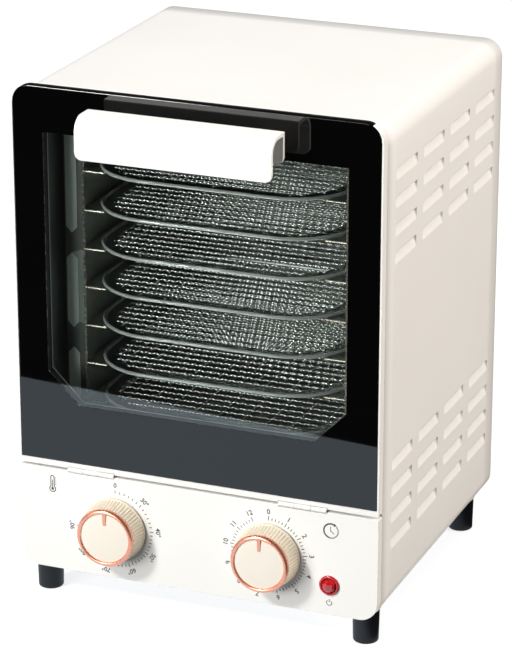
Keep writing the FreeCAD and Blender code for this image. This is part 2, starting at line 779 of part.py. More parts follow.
def knob(prefix, x):
    """A turned knob with a rounded metal trim ring, its pointer, and the shaft
    that it is pushed on."""
    back = "front_face - knob_gap"
    skirt = make_cylinder(f"{prefix}_skirt", "knob_flange", 1.5, (x, f"{back} - 1.5", "knob_height"), "y")
    grip = make_cone(f"{prefix}_grip", "knob_radius", "knob_flare", "knob_depth - 4.5",
                     (x, "front_face - knob_depth + 3", "knob_height"), "y")
    face = make_cylinder(f"{prefix}_face", 15.2, 2, (x, "front_face - knob_depth + 1", "knob_height"), "y")
    blank = fuse(f"{prefix}_blank", [skirt, grip, face])
    hollow = make_cylinder(f"{prefix}_hollow", 15, 12, (x, f"{back} - 12", "knob_height"), "y")
    hub = make_cylinder(f"{prefix}_hub", 6, 12.5, (x, f"{back} - 12.5", "knob_height"), "y")
    bore = make_cylinder(f"{prefix}_bore", "shaft_radius", 12, (x, f"{back} - 11", "knob_height"), "y")
    shell = cut(f"{prefix}_shell", blank, hollow)
    node(f"{prefix}_knob", cut(f"{prefix}_body", fuse(f"{prefix}_with_hub", [shell, hub]), bore))
    trim_front = "front_face - knob_depth"
    ring = make_cylinder(f"{prefix}_ring_blank", "knob_radius - 0.1", 3, (x, trim_front, "knob_height"), "y")
    rounding = doc.addObject("Part::Fillet", f"{prefix}_ring_rounded")
    rounding.Base = ring
    doc.recompute()
    rounding.Edges = [(front_edge(ring.Shape), 1.3, 1.3)]
    inside = make_cylinder(f"{prefix}_ring_inside", 15.2, 8, (x, f"{trim_front} - 2", "knob_height"), "y")
    hoop = cut(f"{prefix}_hoop", rounding, inside)
    pointer = make_box(f"{prefix}_pointer", (f"{x} - 0.9", f"{trim_front} + 0.5", "knob_height + 7.5"),
                       (f"{x} + 0.9", f"{trim_front} + 1", "knob_height + 15.6"))
    node(f"{prefix}_knob_trim", fuse(f"{prefix}_trim", [hoop, pointer]))
    shaft = make_cylinder(f"{prefix}_rod", "shaft_radius", 27, (x, "front_face - 12", "knob_height"), "y")
    node(f"{prefix}_shaft", shaft)


def front_edge(shape):
    """The number of the edge whose middle lies furthest to the front."""
    fronts = [(edge.CenterOfMass.y, number) for number, edge in enumerate(shape.Edges, start=1)]
    return min(fronts)[1]


def switch_body(prefix, x, width, height, depth, label):
    """A switch behind the panel, with a threaded bush round its shaft."""
    front = "front_face + panel_wall"
    bush = make_cylinder(f"{prefix}_bush", 4.5, 4, (x, "front_face - 0.6", "knob_height"), "y")
    case = make_box(f"{prefix}_case",
                    (f"{x} - {width / 2}", front, f"knob_height - {height / 2}"),
                    (f"{x} + {width / 2}", f"{front} + {depth}", f"knob_height + {height / 2}"))
    tabs = []
    for index in range(3):
        offset = (index - 1) * 8
        tabs.append(make_box(f"{prefix}_tab_{index}",
                             (f"{x} + {offset - 3}", f"{front} + {depth - 1}", "knob_height - 6"),
                             (f"{x} + {offset + 3}", f"{front} + {depth + 7}", "knob_height - 5.2")))
    bore = make_cylinder(f"{prefix}_case_bore", "shaft_radius + 0.08", 18,
                         (x, "front_face - 2", "knob_height"), "y")
    node(label, cut(f"{prefix}_switch", fuse(f"{prefix}_switch_blank", [bush, case] + tabs), bore))


def lamp():
    """The red lens of the mains lamp and the holder clipped behind it."""
    back = "front_face"
    rim = make_cylinder("lamp_rim", 6.6, 1.6, ("lamp_x", f"{back} - 1.6", "lamp_height"), "y")
    dome = doc.addObject("Part::Sphere", "lamp_dome")
    dome.Radius = 9.5
    place(dome, ("lamp_x", f"{back} + 6.4", "lamp_height"))
    cap = make_cylinder("lamp_cap", 5.4, 3.2, ("lamp_x", f"{back} - 3.2", "lamp_height"), "y")
    crown = doc.addObject("Part::MultiCommon", "lamp_crown")
    crown.Shapes = [dome, cap]
    stem = make_cylinder("lamp_stem", 4.8, 6, ("lamp_x", f"{back} - 0.5", "lamp_height"), "y")
    node("lamp_lens", fuse("lens", [rim, crown, stem]))
    holder = make_cylinder("holder_barrel", 6.4, 22, ("lamp_x", f"{back} + 2", "lamp_height"), "y")
    bore = make_cylinder("holder_bore", 4.9, 5, ("lamp_x", f"{back} + 1", "lamp_height"), "y")
    node("lamp_holder", cut("holder", holder, bore))


# --------------------------------------------------------------------------
# Trays
# --------------------------------------------------------------------------
def tray_outline(sketch, inset):
    """The rounded outline of a tray, drawn inset from its edge."""
    edge = f"tray_width / 2 - {inset}"
    front = f"tray_front + {inset}"
    back = f"tray_front + tray_depth - {inset}"
    radius = f"tray_radius - {inset}"
    outline(sketch, [(f"-({edge})", front, radius), (edge, front, radius),
                     (edge, back, radius), (f"-({edge})", back, radius)])


def tray_ring(name, level, outer_inset, inner_inset, height):
    """A closed band that follows the edge of a tray."""
    body = new_body(name)
    sketch = new_sketch(body, f"{name}_outline", "XY_Plane", level)
    tray_outline(sketch, outer_inset)
    tray_outline(sketch, inner_inset)
    pad(body, sketch, f"{name}_pad", height)
    return body


def tray(index):
    """A steel tray: a raised rim, a flat border and a mesh on top of it."""
    name = f"tray_{index + 1}"
    level = tray_level(index)
    rim = tray_ring(f"{name}_rim", level, "0", "rim_width", "rim_height")
    border = tray_ring(f"{name}_border", level, "rim_width / 2", "border_width", "border_wall")
    node(f"{name}_frame", fuse(f"{name}_ring", [rim, border]))
    body = new_body(f"{name}_screen")
    sketch = new_sketch(body, f"{name}_screen_outline", "XY_Plane", f"{level} + border_wall")
    tray_outline(sketch, "border_width - 2")
    pad(body, sketch, f"{name}_screen_pad", "mesh_wall")
    holes = []
    rows, columns, row_pitch, column_pitch = 11, 4, 11.0, 33.0
    hole_length, hole_width = 30.0, 8.0
    for row_index in range(rows):
        y = (row_index - (rows - 1) / 2) * row_pitch
        used = columns if abs(y) < 40 else columns - 2
        for column in range(used):
            x = (column - (used - 1) / 2) * column_pitch
            low = (f"{x - hole_length / 2}", f"tray_front + tray_depth / 2 + {y - hole_width / 2}",
                   f"{level}")
            high = (f"{x + hole_length / 2}", f"tray_front + tray_depth / 2 + {y + hole_width / 2}",
                    f"{level} + 3")
            holes.append(make_box(f"{name}_hole_{row_index}_{column}", low, high))
    node(f"{name}_mesh", cut(f"{name}_perforated", body, holes))


# --------------------------------------------------------------------------
# Heating and air
# --------------------------------------------------------------------------
HEATER_RADIUS = 60
HEATER_TUBE = 3.2
HEATER_GAP = 24
HEATER_LEG = f"{HEATER_RADIUS * math.sin(math.radians(HEATER_GAP / 2)):.3f}"
HEATER_DROP = f"{HEATER_RADIUS * math.cos(math.radians(HEATER_GAP / 2)):.3f}"
HEATER_Y = "liner_back - 9"


def heater():
    """A sheathed heating element bent round the fan, with two legs through the
    back wall and three clips."""
    loop = doc.addObject("Part::Torus", "heater_loop")
    loop.Radius1 = HEATER_RADIUS
    loop.Radius2 = HEATER_TUBE
    loop.Angle3 = 360 - HEATER_GAP
    start = Rotation(Vector(0, 0, 1), -90 + HEATER_GAP / 2)
    loop.Placement = FreeCAD.Placement(Vector(), Rotation(Vector(1, 0, 0), 90).multiply(start))
    place(loop, ("0", HEATER_Y, "fan_height"))
    pieces = [loop]
    for side in (-1, 1):
        x = f"{side} * {HEATER_LEG}"
        z = f"fan_height - {HEATER_DROP}"
        joint = doc.addObject("Part::Sphere", f"heater_elbow_{'lr'[side > 0]}")
        joint.Radius = HEATER_TUBE + 0.8
        place(joint, (x, HEATER_Y, z))
        leg = make_cylinder(f"heater_leg_{'lr'[side > 0]}", HEATER_TUBE - 0.4, 16, (x, HEATER_Y, z), "y")
        pin = make_cylinder(f"heater_pin_{'lr'[side > 0]}", 1.2, 8, (x, f"{HEATER_Y} + 15", z), "y")
        pieces += [joint, leg, pin]
    node("heater_element", fuse("heater", pieces))
    clips = []
    for index, angle in enumerate((90, 200, 340)):
        across = HEATER_RADIUS * math.cos(math.radians(angle))
        up = HEATER_RADIUS * math.sin(math.radians(angle))
        foot = f"liner_back - liner_wall"
        block = make_box(f"clip_block_{index}",
                         (f"{across - 5:.3f}", f"{HEATER_Y} - 1", f"fan_height + {up - 5:.3f}"),
                         (f"{across + 5:.3f}", foot, f"fan_height + {up + 5:.3f}"))
        clips.append(cut(f"clip_{index}", block, loop_room(index)))
    node("heater_clips", group("clips", clips))


def loop_room(index):
    """The room of the element in one of its clips."""
    ring = doc.addObject("Part::Torus", f"clip_room_{index}")
    ring.Radius1 = HEATER_RADIUS
    ring.Radius2 = HEATER_TUBE
    ring.Placement = FreeCAD.Placement(Vector(), Rotation(Vector(1, 0, 0), 90))
    place(ring, ("0", HEATER_Y, "fan_height"))
    return ring


def fan():
    """A radial fan wheel on the motor's shaft."""
    wheel_radius, hub_radius, blade_depth = 50, 9, 9
    disc_front = "liner_back - 5"
    disc = make_cylinder("fan_disc", wheel_radius, 1, ("0", disc_front, "fan_height"), "y")
    hub = make_cylinder("fan_hub", hub_radius, blade_depth + 1,
                        ("0", f"{disc_front} - {blade_depth}", "fan_height"), "y")
    pieces = [disc, hub]
    for index in range(FAN_BLADES):
        blade = doc.addObject("Part::Box", f"fan_blade_{index}")
        blade.Length = wheel_radius - hub_radius
        blade.Width = blade_depth + 0.5
        blade.Height = 1
        turn = Rotation(Vector(0, 1, 0), 360 / FAN_BLADES * index)
        outwards = turn.multVec(Vector(hub_radius - 1, 0, -0.5))
        blade.Placement = FreeCAD.Placement(Vector(), turn)
        place(blade, (f"{outwards.x:.4f}", f"{disc_front} - {blade_depth}",
                      f"fan_height + {outwards.z:.4f}"))
        pieces.append(blade)
    bore = make_cylinder("fan_bore", 2, 30, ("0", "liner_back - 20", "fan_height"), "y")
    node("fan_wheel", cut("wheel", fuse("wheel_blank", pieces), bore))
    node("fan_shaft", make_cylinder("motor_shaft", 2, 30, ("0", "liner_back - 14", "fan_height"), "y"))


def motor():
    """A shaded-pole motor behind the chamber, held by two straps."""
    front = "liner_back + 3"
    core = make_box("motor_core", ("-24", f"{front} + 2", "fan_height - 22"),
                    ("24", f"{front} + 14", "fan_height + 22"))
    caps = make_cylinder("motor_caps", 9, 18, ("0", f"{front} - 0.5", "fan_height"), "y")
    coil = make_box("motor_coil", ("-11", front, "fan_height + 14"),
                    ("11", f"{front} + 17", "fan_height + 34"))
    bore = make_cylinder("motor_bore", 2.08, 30, ("0", f"{front} - 4", "fan_height"), "y")
    node("fan_motor", cut("motor", fuse("motor_blank", [core, caps, coil]), bore))
    straps = []
    for side in (-1, 1):
        low = -24 if side < 0 else 16
        bar = make_box(f"strap_bar_{'lr'[side > 0]}", (f"{low}", f"{front} + 0.8", "fan_height - 34"),
                       (f"{low + 8}", f"{front} + 2", "fan_height + 10"))
        foot = make_box(f"strap_foot_{'lr'[side > 0]}", (f"{low}", "liner_back", "fan_height - 34"),
                        (f"{low + 8}", f"{front} + 2", "fan_height - 30"))
        straps.append(fuse(f"strap_{'lr'[side > 0]}", [bar, foot]))
    node("motor_straps", group("strap_pair", straps))


def small_electrics():
    """The thermal cut-out on the chamber and the mains terminal block."""
    disc = make_cylinder("cutout_disc", 8, 6, ("62", "liner_back", "fan_height + 62"), "y")
    plate = make_box("cutout_plate", ("50", "liner_back", "fan_height + 58"),
                     ("74", "liner_back + 0.8", "fan_height + 66"))
    tabs = [make_box(f"cutout_tab_{index}", (f"{57 + index * 7}", "liner_back + 5", "fan_height + 59"),
                     (f"{60 + index * 7}", "liner_back + 12", "fan_height + 59.8")) for index in range(2)]
    node("thermal_cutout", fuse("cutout", [disc, plate] + tabs))
    pan_top = "foot_height + 2 * sheet"
    block = make_box("terminal_body", ("52", "84", pan_top), ("88", "102", f"{pan_top} + 13"))
    wells = [make_cylinder(f"terminal_well_{index}", 2.6, 6, (f"{60 + index * 10}", "93", f"{pan_top} + 8"))
             for index in range(3)]
    node("terminal_block", cut("terminal", block, wells))


def cord_gland():
    """The bush where the mains cord enters through the back."""
    flange = make_cylinder("gland_flange", 8, "gland_stand - 2",
                           ("gland_x", "back_face", "gland_height"), "y")
    nose = make_cone("gland_nose", 7.2, 5.4, 2,
                     ("gland_x", "back_face + gland_stand - 2", "gland_height"), "y")
    neck = make_cylinder("gland_neck", 5.9, 2.5, ("gland_x", "back_face - 2", "gland_height"), "y")
    collar = make_cylinder("gland_collar", 7.4, 3, ("gland_x", "back_face - 4.2", "gland_height"), "y")
    bore = make_cylinder("gland_bore_tool", "gland_bore", 20,
                         ("gland_x", "back_face - 10", "gland_height"), "y")
    node("cord_gland", cut("gland", fuse("gland_blank", [flange, nose, neck, collar]), bore))


# --------------------------------------------------------------------------
# Feet and fasteners
# --------------------------------------------------------------------------
def foot_places():
    return [(x, y) for y in ("foot_front", "foot_back") for x in ("-foot_x", "foot_x")]


def underside(name, away):
    """The cabinet's outer shape, grown by a distance, to shape what meets it."""
    edge = f"cabinet_width / 2 + {away}"
    radius = f"corner_radius + {away}"
    return rounded_plate(name, f"-({edge})", edge, f"foot_height - {away}", "cabinet_top / 2",
                         (radius, radius, None, None), "front_face", "back_face - front_face")


def feet():
    """Turned feet whose tops follow the cabinet's rounded lower edge, each with
    a pressed washer above it and a screw from inside."""
    legs, washers, screws = [], [], []
    reach = "foot_height + corner_radius / 2"
    for index, (x, y) in enumerate(foot_places()):
        leg = make_cone(f"leg_{index}", "foot_radius - 0.6", "foot_radius", reach, (x, y, "0"))
        rounded = doc.addObject("Part::Fillet", f"leg_rounded_{index}")
        rounded.Base = leg
        doc.recompute()
        rounded.Edges = [(lowest_edge(leg.Shape), 1.2, 1.2)]
        hole = make_cylinder(f"leg_hole_{index}", 1.9, 30, (x, y, "foot_height - 11"))
        tools = [hole, underside(f"leg_top_{index}", "washer_wall")]
        legs.append(cut(f"leg_drilled_{index}", rounded, tools))
        disc = make_cylinder(f"washer_disc_{index}", "foot_radius + 0.6", "corner_radius",
                             (x, y, "foot_height - washer_wall"))
        eye = make_cylinder(f"washer_eye_{index}", 2.1, "4 * washer_wall",
                            (x, y, "foot_height - 2 * washer_wall"))
        band = cut(f"washer_band_{index}", underside(f"washer_under_{index}", "washer_wall"),
                   underside(f"washer_over_{index}", "0.02"))
        pressed = doc.addObject("Part::MultiCommon", f"washer_pressed_{index}")
        pressed.Shapes = [disc, band]
        washers.append(cut(f"washer_{index}", pressed, eye))
        shank = make_cylinder(f"foot_shank_{index}", 1.9, "10.5 + sheet + 0.6", (x, y, "foot_height - 10.5"))
        head = make_cylinder(f"foot_head_{index}", 2.8, 2, (x, y, "foot_height + sheet + 0.4"))
        screws.append(fuse(f"foot_screw_{index}", [shank, head]))
    node("feet", group("leg_set", legs))
    node("foot_washers", group("washer_set", washers))
    node("foot_screws", group("foot_screw_set", screws))


def lowest_edge(shape):
    """The number of the edge whose middle lies lowest."""
    heights = [(edge.CenterOfMass.z, number) for number, edge in enumerate(shape.Edges, start=1)]
    return min(heights)[1]


def back_screws():
    """Pan-head screws round the edge of the back panel."""
    screws = []
    across, heights = 111, (32, 178, 324)
    for z_index, z in enumerate(heights):
        for side in (-1, 1):
            head = make_cylinder(f"back_screw_{z_index}_{'lr'[side > 0]}", 3, 1.6,
                                 (f"{side * across}", "back_face", f"{z}"), "y")
            rounded = doc.addObject("Part::Fillet", f"back_screw_head_{z_index}_{'lr'[side > 0]}")
            rounded.Base = head
            doc.recompute()
            rounded.Edges = [(rear_edge(head.Shape), 0.8, 0.8)]
            screws.append(rounded)
    node("back_screws", group("back_screw_set", screws))


def rear_edge(shape):
    """The number of the edge whose middle lies furthest back."""
    backs = [(edge.CenterOfMass.y, number) for number, edge in enumerate(shape.Edges, start=1)]
    return max(backs)[1]


cabinet_wrapper()
base_pan()
back_panel()
front_frame()
cavity_liner()
fan_cover()
racks()
door_glass()
door_frame()
hinges()
handle()
control_panel()
knob("temp", "temp_knob_x")
knob("timer", "timer_knob_x")
switch_body("thermostat", "temp_knob_x", 36, 34, 24, "thermostat_body")
switch_body("timer_unit", "timer_knob_x", 44, 44, 30, "timer_body")
lamp()
for tray_index in range(TRAY_COUNT):
    tray(tray_index)
heater()
fan()
motor()
small_electrics()
cord_gland()
feet()
back_screws()

# --------------------------------------------------------------------------
# Checks and export
# --------------------------------------------------------------------------
doc.recompute()
failed = [item.Name for item in doc.Objects if "Invalid" in item.State or "Error" in item.State]
for label, item in nodes.items():
    if item.Shape.isNull() or not item.Shape.isValid() or not item.Shape.Solids:
        failed.append(label)
if failed:
    raise RuntimeError(f"failed objects: {failed}")
for label, item in nodes.items():
    item.Shape.exportStep(os.path.join("parts", f"{label}.step"))
print(len(nodes), "nodes")
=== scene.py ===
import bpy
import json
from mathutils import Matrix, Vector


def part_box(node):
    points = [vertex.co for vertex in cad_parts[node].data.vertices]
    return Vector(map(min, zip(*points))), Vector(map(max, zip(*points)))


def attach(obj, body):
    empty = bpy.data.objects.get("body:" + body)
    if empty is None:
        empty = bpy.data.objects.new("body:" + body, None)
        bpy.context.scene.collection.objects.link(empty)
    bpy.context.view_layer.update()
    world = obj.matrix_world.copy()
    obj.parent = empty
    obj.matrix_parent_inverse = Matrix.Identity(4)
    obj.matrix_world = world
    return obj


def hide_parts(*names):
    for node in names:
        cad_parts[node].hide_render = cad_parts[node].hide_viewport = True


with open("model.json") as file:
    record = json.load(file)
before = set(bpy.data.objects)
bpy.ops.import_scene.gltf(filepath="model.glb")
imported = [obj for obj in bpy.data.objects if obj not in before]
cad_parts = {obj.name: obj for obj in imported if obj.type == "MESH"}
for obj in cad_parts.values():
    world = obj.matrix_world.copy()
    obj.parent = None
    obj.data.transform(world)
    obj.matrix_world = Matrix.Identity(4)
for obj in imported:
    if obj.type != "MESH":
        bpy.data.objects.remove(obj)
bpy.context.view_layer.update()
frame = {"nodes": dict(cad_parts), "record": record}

import json
import math

import bmesh
import bpy
from mathutils import Matrix, Vector

MM = 0.001
NODES = frame["nodes"]
RECORD = frame["record"]
SLOT_OF = {row["node"]: row["material_slot"] for row in RECORD["subparts"]}
BODY_OF = {node: body for body, members in RECORD["behaviour"]["bodies"].items()
           for node in members}


# --------------------------------------------------------------------------
# Materials
# --------------------------------------------------------------------------
def node_material(name):
    """A new material with its node tree and its Principled shader."""
    made = bpy.data.materials.new(name)
    made.use_nodes = True
    tree = made.node_tree
    shader = tree.nodes["Principled BSDF"]
    return made, tree, shader


def add(tree, kind, **values):
    """A new node. A value is for the socket of that name, or else for the node."""
    item = tree.nodes.new(kind)
    for key, value in values.items():
        if key in item.inputs:
            item.inputs[key].default_value = value
        else:
            setattr(item, key, value)
    return item


def noise(tree, scale, detail=3.0, stretch=(1, 1, 1), roughness=0.55):
    """Noise in the object's own metres, so scale is in 1/m, stretched along the axes."""
    coordinates = add(tree, "ShaderNodeTexCoord")
    mapping = add(tree, "ShaderNodeMapping")
    mapping.inputs["Scale"].default_value = stretch
    texture = add(tree, "ShaderNodeTexNoise", Scale=scale, Detail=detail, Roughness=roughness)
    tree.links.new(coordinates.outputs["Object"], mapping.inputs["Vector"])
    tree.links.new(mapping.outputs["Vector"], texture.inputs["Vector"])
    return texture.outputs["Fac"]


def ranged(tree, source, low, high, start=0.25, end=0.75):
    """Turns the middle of a noise, start to end, into low to high."""
    item = add(tree, "ShaderNodeMapRange")
    item.inputs["From Min"].default_value = start
    item.inputs["From Max"].default_value = end
    item.inputs["To Min"].default_value = low
    item.inputs["To Max"].default_value = high
    tree.links.new(source, item.inputs["Value"])
    return item.outputs["Result"]


def blended(tree, source, first, second):
    """A colour that goes from first to second over the middle of a noise."""
    ramp = add(tree, "ShaderNodeValToRGB")
    for stop, position, colour in zip(ramp.color_ramp.elements, (0.3, 0.7), (first, second)):
        stop.position = position
        stop.color = (*colour, 1)
    tree.links.new(source, ramp.inputs["Fac"])
    return ramp.outputs["Color"]


def bump(tree, shader, source, strength, distance):
    item = add(tree, "ShaderNodeBump", Strength=strength, Distance=distance)
    tree.links.new(source, item.inputs["Height"])
    tree.links.new(item.outputs["Normal"], shader.inputs["Normal"])


def surface(name, dark, light, rough, grain, metallic=0.0, coat=0.0, coat_rough=0.1,
            stretch=(1, 1, 1), patches=14.0, specular=0.5, ior=1.5):
    """A general opaque surface. Its colour drifts between dark and light in
    patches, rough is its lowest and highest roughness, and grain is the (scale,
    strength, depth) of its fine relief."""
    made, tree, shader = node_material(name)
    shader.inputs["Metallic"].default_value = metallic
    shader.inputs["Coat Weight"].default_value = coat
    shader.inputs["Coat Roughness"].default_value = coat_rough
    shader.inputs["Specular IOR Level"].default_value = specular
    shader.inputs["IOR"].default_value = ior
    wide = noise(tree, patches, 2.0)
    tree.links.new(blended(tree, wide, dark, light), shader.inputs["Base Color"])
    scale, strength, depth = grain
    fine = noise(tree, scale, 4.0, stretch)
    tree.links.new(ranged(tree, fine, *rough), shader.inputs["Roughness"])
    bump(tree, shader, fine, strength, depth)
    return made


def clear_glass():
    """A thin pane that is seen straight through, with a gloss that grows at grazing angles."""
    made, tree, shader = node_material("clear_glass")
    tree.nodes.remove(shader)
    output = tree.nodes["Material Output"]
    through = add(tree, "ShaderNodeBsdfTransparent", Color=(0.90, 0.93, 0.92, 1))
    gloss = add(tree, "ShaderNodeBsdfGlossy", Color=(1, 1, 1, 1))
    smear = noise(tree, 35.0, 3.0)
    tree.links.new(ranged(tree, smear, 0.004, 0.02), gloss.inputs["Roughness"])
    facing = add(tree, "ShaderNodeFresnel", IOR=1.46)
    mix = add(tree, "ShaderNodeMixShader")
    tree.links.new(facing.outputs["Fac"], mix.inputs[0])
    tree.links.new(through.outputs["BSDF"], mix.inputs[1])
    tree.links.new(gloss.outputs["BSDF"], mix.inputs[2])
    tree.links.new(mix.outputs["Shader"], output.inputs["Surface"])
    return made


def red_lens():
    made, tree, shader = node_material("red_lens")
    shader.inputs["Transmission Weight"].default_value = 0.2
    shader.inputs["IOR"].default_value = 1.49
    shader.inputs["Coat Weight"].default_value = 0.6
    shader.inputs["Coat Roughness"].default_value = 0.03
    wide = noise(tree, 260.0, 2.0)
    colour = blended(tree, wide, (0.30, 0.002, 0.004), (0.78, 0.015, 0.018))
    tree.links.new(colour, shader.inputs["Base Color"])
    fine = noise(tree, 900.0, 2.0)
    tree.links.new(ranged(tree, fine, 0.04, 0.12), shader.inputs["Roughness"])
    bump(tree, shader, fine, 0.08, 0.00005)
    return made


# BRUSHED draws the grain out along Z.
BRUSHED = (1, 1, 0.04)
SURFACES = {
    "cream_paint": dict(
        dark=(0.86, 0.85, 0.825), light=(0.88, 0.87, 0.845), rough=(0.30, 0.42),
        grain=(1100.0, 0.06, 0.00006), coat=0.2, coat_rough=0.22),
    "cream_plastic": dict(
        dark=(0.82, 0.77, 0.67), light=(0.85, 0.80, 0.71), rough=(0.32, 0.42),
        grain=(1600.0, 0.05, 0.00004), coat=0.15, coat_rough=0.25),
    # A darker copy of the knob's cream plastic, painted shade on the grip's side and flange.
    "grip_cream_painted_shade": dict(
        dark=(0.70, 0.625, 0.50), light=(0.74, 0.665, 0.54), rough=(0.34, 0.44),
        grain=(1600.0, 0.05, 0.00004)),
    "foot_plastic": dict(
        dark=(0.003, 0.003, 0.004), light=(0.006, 0.006, 0.008), rough=(0.42, 0.55),
        grain=(900.0, 0.10, 0.0001), specular=0.3),
    "copper_trim": dict(
        dark=(0.79, 0.32, 0.215), light=(0.83, 0.36, 0.245), rough=(0.25, 0.33),
        grain=(700.0, 0.03, 0.00004), metallic=0.85),
    "black_glass": dict(
        dark=(0.0004, 0.0004, 0.0005), light=(0.0008, 0.0008, 0.001), rough=(0.01, 0.03),
        grain=(60.0, 0.01, 0.00002), ior=1.52),
    "black_gasket": dict(
        dark=(0.006, 0.006, 0.006), light=(0.012, 0.012, 0.012), rough=(0.45, 0.6),
        grain=(800.0, 0.15, 0.0001)),
    "stainless": dict(
        dark=(0.42, 0.45, 0.42), light=(0.52, 0.55, 0.51), rough=(0.32, 0.44),
        grain=(260.0, 0.12, 0.00006), metallic=0.95, stretch=BRUSHED),
    # A darker copy of the stainless steel: painted shade for the shaded chamber and for the rack
    # faces behind the raised panels.
    "chamber_steel_painted_shade": dict(
        dark=(0.19, 0.20, 0.185), light=(0.25, 0.26, 0.24), rough=(0.36, 0.48),
        grain=(260.0, 0.12, 0.00006), metallic=0.9, stretch=BRUSHED),
    # A pale, less metallic copy of the stainless steel: painted light on the raised panels of the
    # rack flanges.
    "panel_steel_painted_light": dict(
        dark=(0.74, 0.80, 0.76), light=(0.82, 0.88, 0.83), rough=(0.40, 0.52),
        grain=(300.0, 0.10, 0.00006), metallic=0.25, stretch=BRUSHED),
    "tray_steel": dict(
        dark=(0.70, 0.70, 0.68), light=(0.80, 0.80, 0.78), rough=(0.16, 0.26),
        grain=(420.0, 0.06, 0.00004), metallic=0.9),
    # A near-white copy of the tray steel: a painted highlight along the trays' rolled rims.
    "rim_steel_painted_highlight": dict(
        dark=(0.93, 0.93, 0.92), light=(0.97, 0.97, 0.96), rough=(0.16, 0.24),
        grain=(420.0, 0.05, 0.00004), metallic=0.55),
    # A darker copy of the tray steel: a painted dark reflection on the trays' flat borders.
    "border_steel_painted_reflection": dict(
        dark=(0.30, 0.31, 0.30), light=(0.40, 0.41, 0.39), rough=(0.14, 0.24),
        grain=(420.0, 0.06, 0.00004), metallic=1.0),
    "zinc_steel": dict(
        dark=(0.50, 0.51, 0.52), light=(0.62, 0.63, 0.64), rough=(0.36, 0.52),
        grain=(240.0, 0.10, 0.00008), metallic=0.45, patches=120.0),
    "galvanised_hardware": dict(
        dark=(0.58, 0.58, 0.56), light=(0.70, 0.70, 0.68), rough=(0.24, 0.38),
        grain=(900.0, 0.08, 0.00005), metallic=1.0),
    "fan_aluminium": dict(
        dark=(0.62, 0.63, 0.64), light=(0.74, 0.75, 0.76), rough=(0.28, 0.42),
        grain=(400.0, 0.10, 0.00006), metallic=1.0),
    "heater_steel": dict(
        dark=(0.10, 0.085, 0.075), light=(0.20, 0.17, 0.15), rough=(0.35, 0.5),
        grain=(500.0, 0.15, 0.0001), metallic=0.8),
    "magnet_black": dict(
        dark=(0.02, 0.02, 0.022), light=(0.04, 0.04, 0.042), rough=(0.4, 0.55),
        grain=(700.0, 0.2, 0.0001)),
    "black_plastic": dict(
        dark=(0.012, 0.012, 0.014), light=(0.022, 0.022, 0.024), rough=(0.36, 0.5),
        grain=(1100.0, 0.15, 0.00008)),
    "white_nylon": dict(
        dark=(0.74, 0.73, 0.69), light=(0.80, 0.79, 0.75), rough=(0.38, 0.5),
        grain=(1000.0, 0.08, 0.00006)),
    "rolled_steel": dict(
        dark=(0.62, 0.55, 0.47), light=(0.70, 0.62, 0.53), rough=(0.22, 0.32),
        grain=(500.0, 0.08, 0.00005), metallic=0.85),
    "print_ink": dict(
        dark=(0.018, 0.018, 0.021), light=(0.03, 0.03, 0.034), rough=(0.4, 0.5),
        grain=(2000.0, 0.05, 0.00002)),
}
MATERIALS = {name: surface(name, **look) for name, look in SURFACES.items()}
MATERIALS["dark_glass"] = clear_glass()
MATERIALS["lamp_red"] = red_lens()


# --------------------------------------------------------------------------
# Making pieces
# --------------------------------------------------------------------------
EDGE_ANGLE = 30.0    # an edge sharper than this, in degrees, is rounded and shaded sharp
FLAT_WITHIN = 0.5    # CAD facets nearer to flat than this, in degrees, are joined
CAD_WELD = 2e-6      # in metres


def link(name, data):
    """A new object in the scene."""
    made = bpy.data.objects.new(name, data)
    bpy.context.scene.collection.objects.link(made)
    return made


def shade(mesh, angle=35.0):
    """Smooth shading, with the edges over angle degrees left sharp."""
    for polygon in mesh.polygons:
        polygon.use_smooth = True
    mesh.set_sharp_from_angle(angle=math.radians(angle))


def mesh_from(name, bm, weld=1e-7, angle=35.0):
    """The finished mesh of a bmesh, which is freed."""
    if weld:
        bmesh.ops.remove_doubles(bm, verts=bm.verts, dist=weld)
    mesh = bpy.data.meshes.new(name)
    bm.to_mesh(mesh)
    bm.free()
    shade(mesh, angle)
    return mesh


def settle(obj, body, slot, material=None, stands_for=()):
    """Puts a piece on its body, in the slot's own material unless another is named, in place of the
    CAD nodes that it stands for."""
    obj.data.materials.clear()
    obj.data.materials.append(MATERIALS[material or slot])
    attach(obj, body)
    if stands_for:
        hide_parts(*stands_for)


def bevelled(obj, width, segments=2):
    """Rounds the sharp edges of a piece by width, in mm."""
    modifier = obj.modifiers.new("edges", "BEVEL")
    modifier.width = width * MM
    modifier.segments = segments
    modifier.limit_method = "ANGLE"
    modifier.angle_limit = math.radians(EDGE_ANGLE)
    modifier.harden_normals = False
    modifier.miter_outer = "MITER_ARC"
    weighted = obj.modifiers.new("normals", "WEIGHTED_NORMAL")
    weighted.keep_sharp = True
    return obj


def refined(node, width):
    """The CAD node's own shape with its edges rounded as real ones are."""
    bm = bmesh.new()
    bm.from_mesh(NODES[node].data)
    bmesh.ops.remove_doubles(bm, verts=bm.verts, dist=CAD_WELD)
    bmesh.ops.dissolve_limit(bm, angle_limit=math.radians(FLAT_WITHIN), verts=bm.verts,
                             edges=bm.edges)
    mesh = mesh_from(f"{node}_shape", bm, weld=0)
    if "custom_normal" in mesh.attributes:
        mesh.attributes.remove(mesh.attributes["custom_normal"])
    shade(mesh, EDGE_ANGLE)
    obj = bevelled(link(f"{node}_finished", mesh), width)
    settle(obj, BODY_OF[node], SLOT_OF[node], stands_for=(node,))


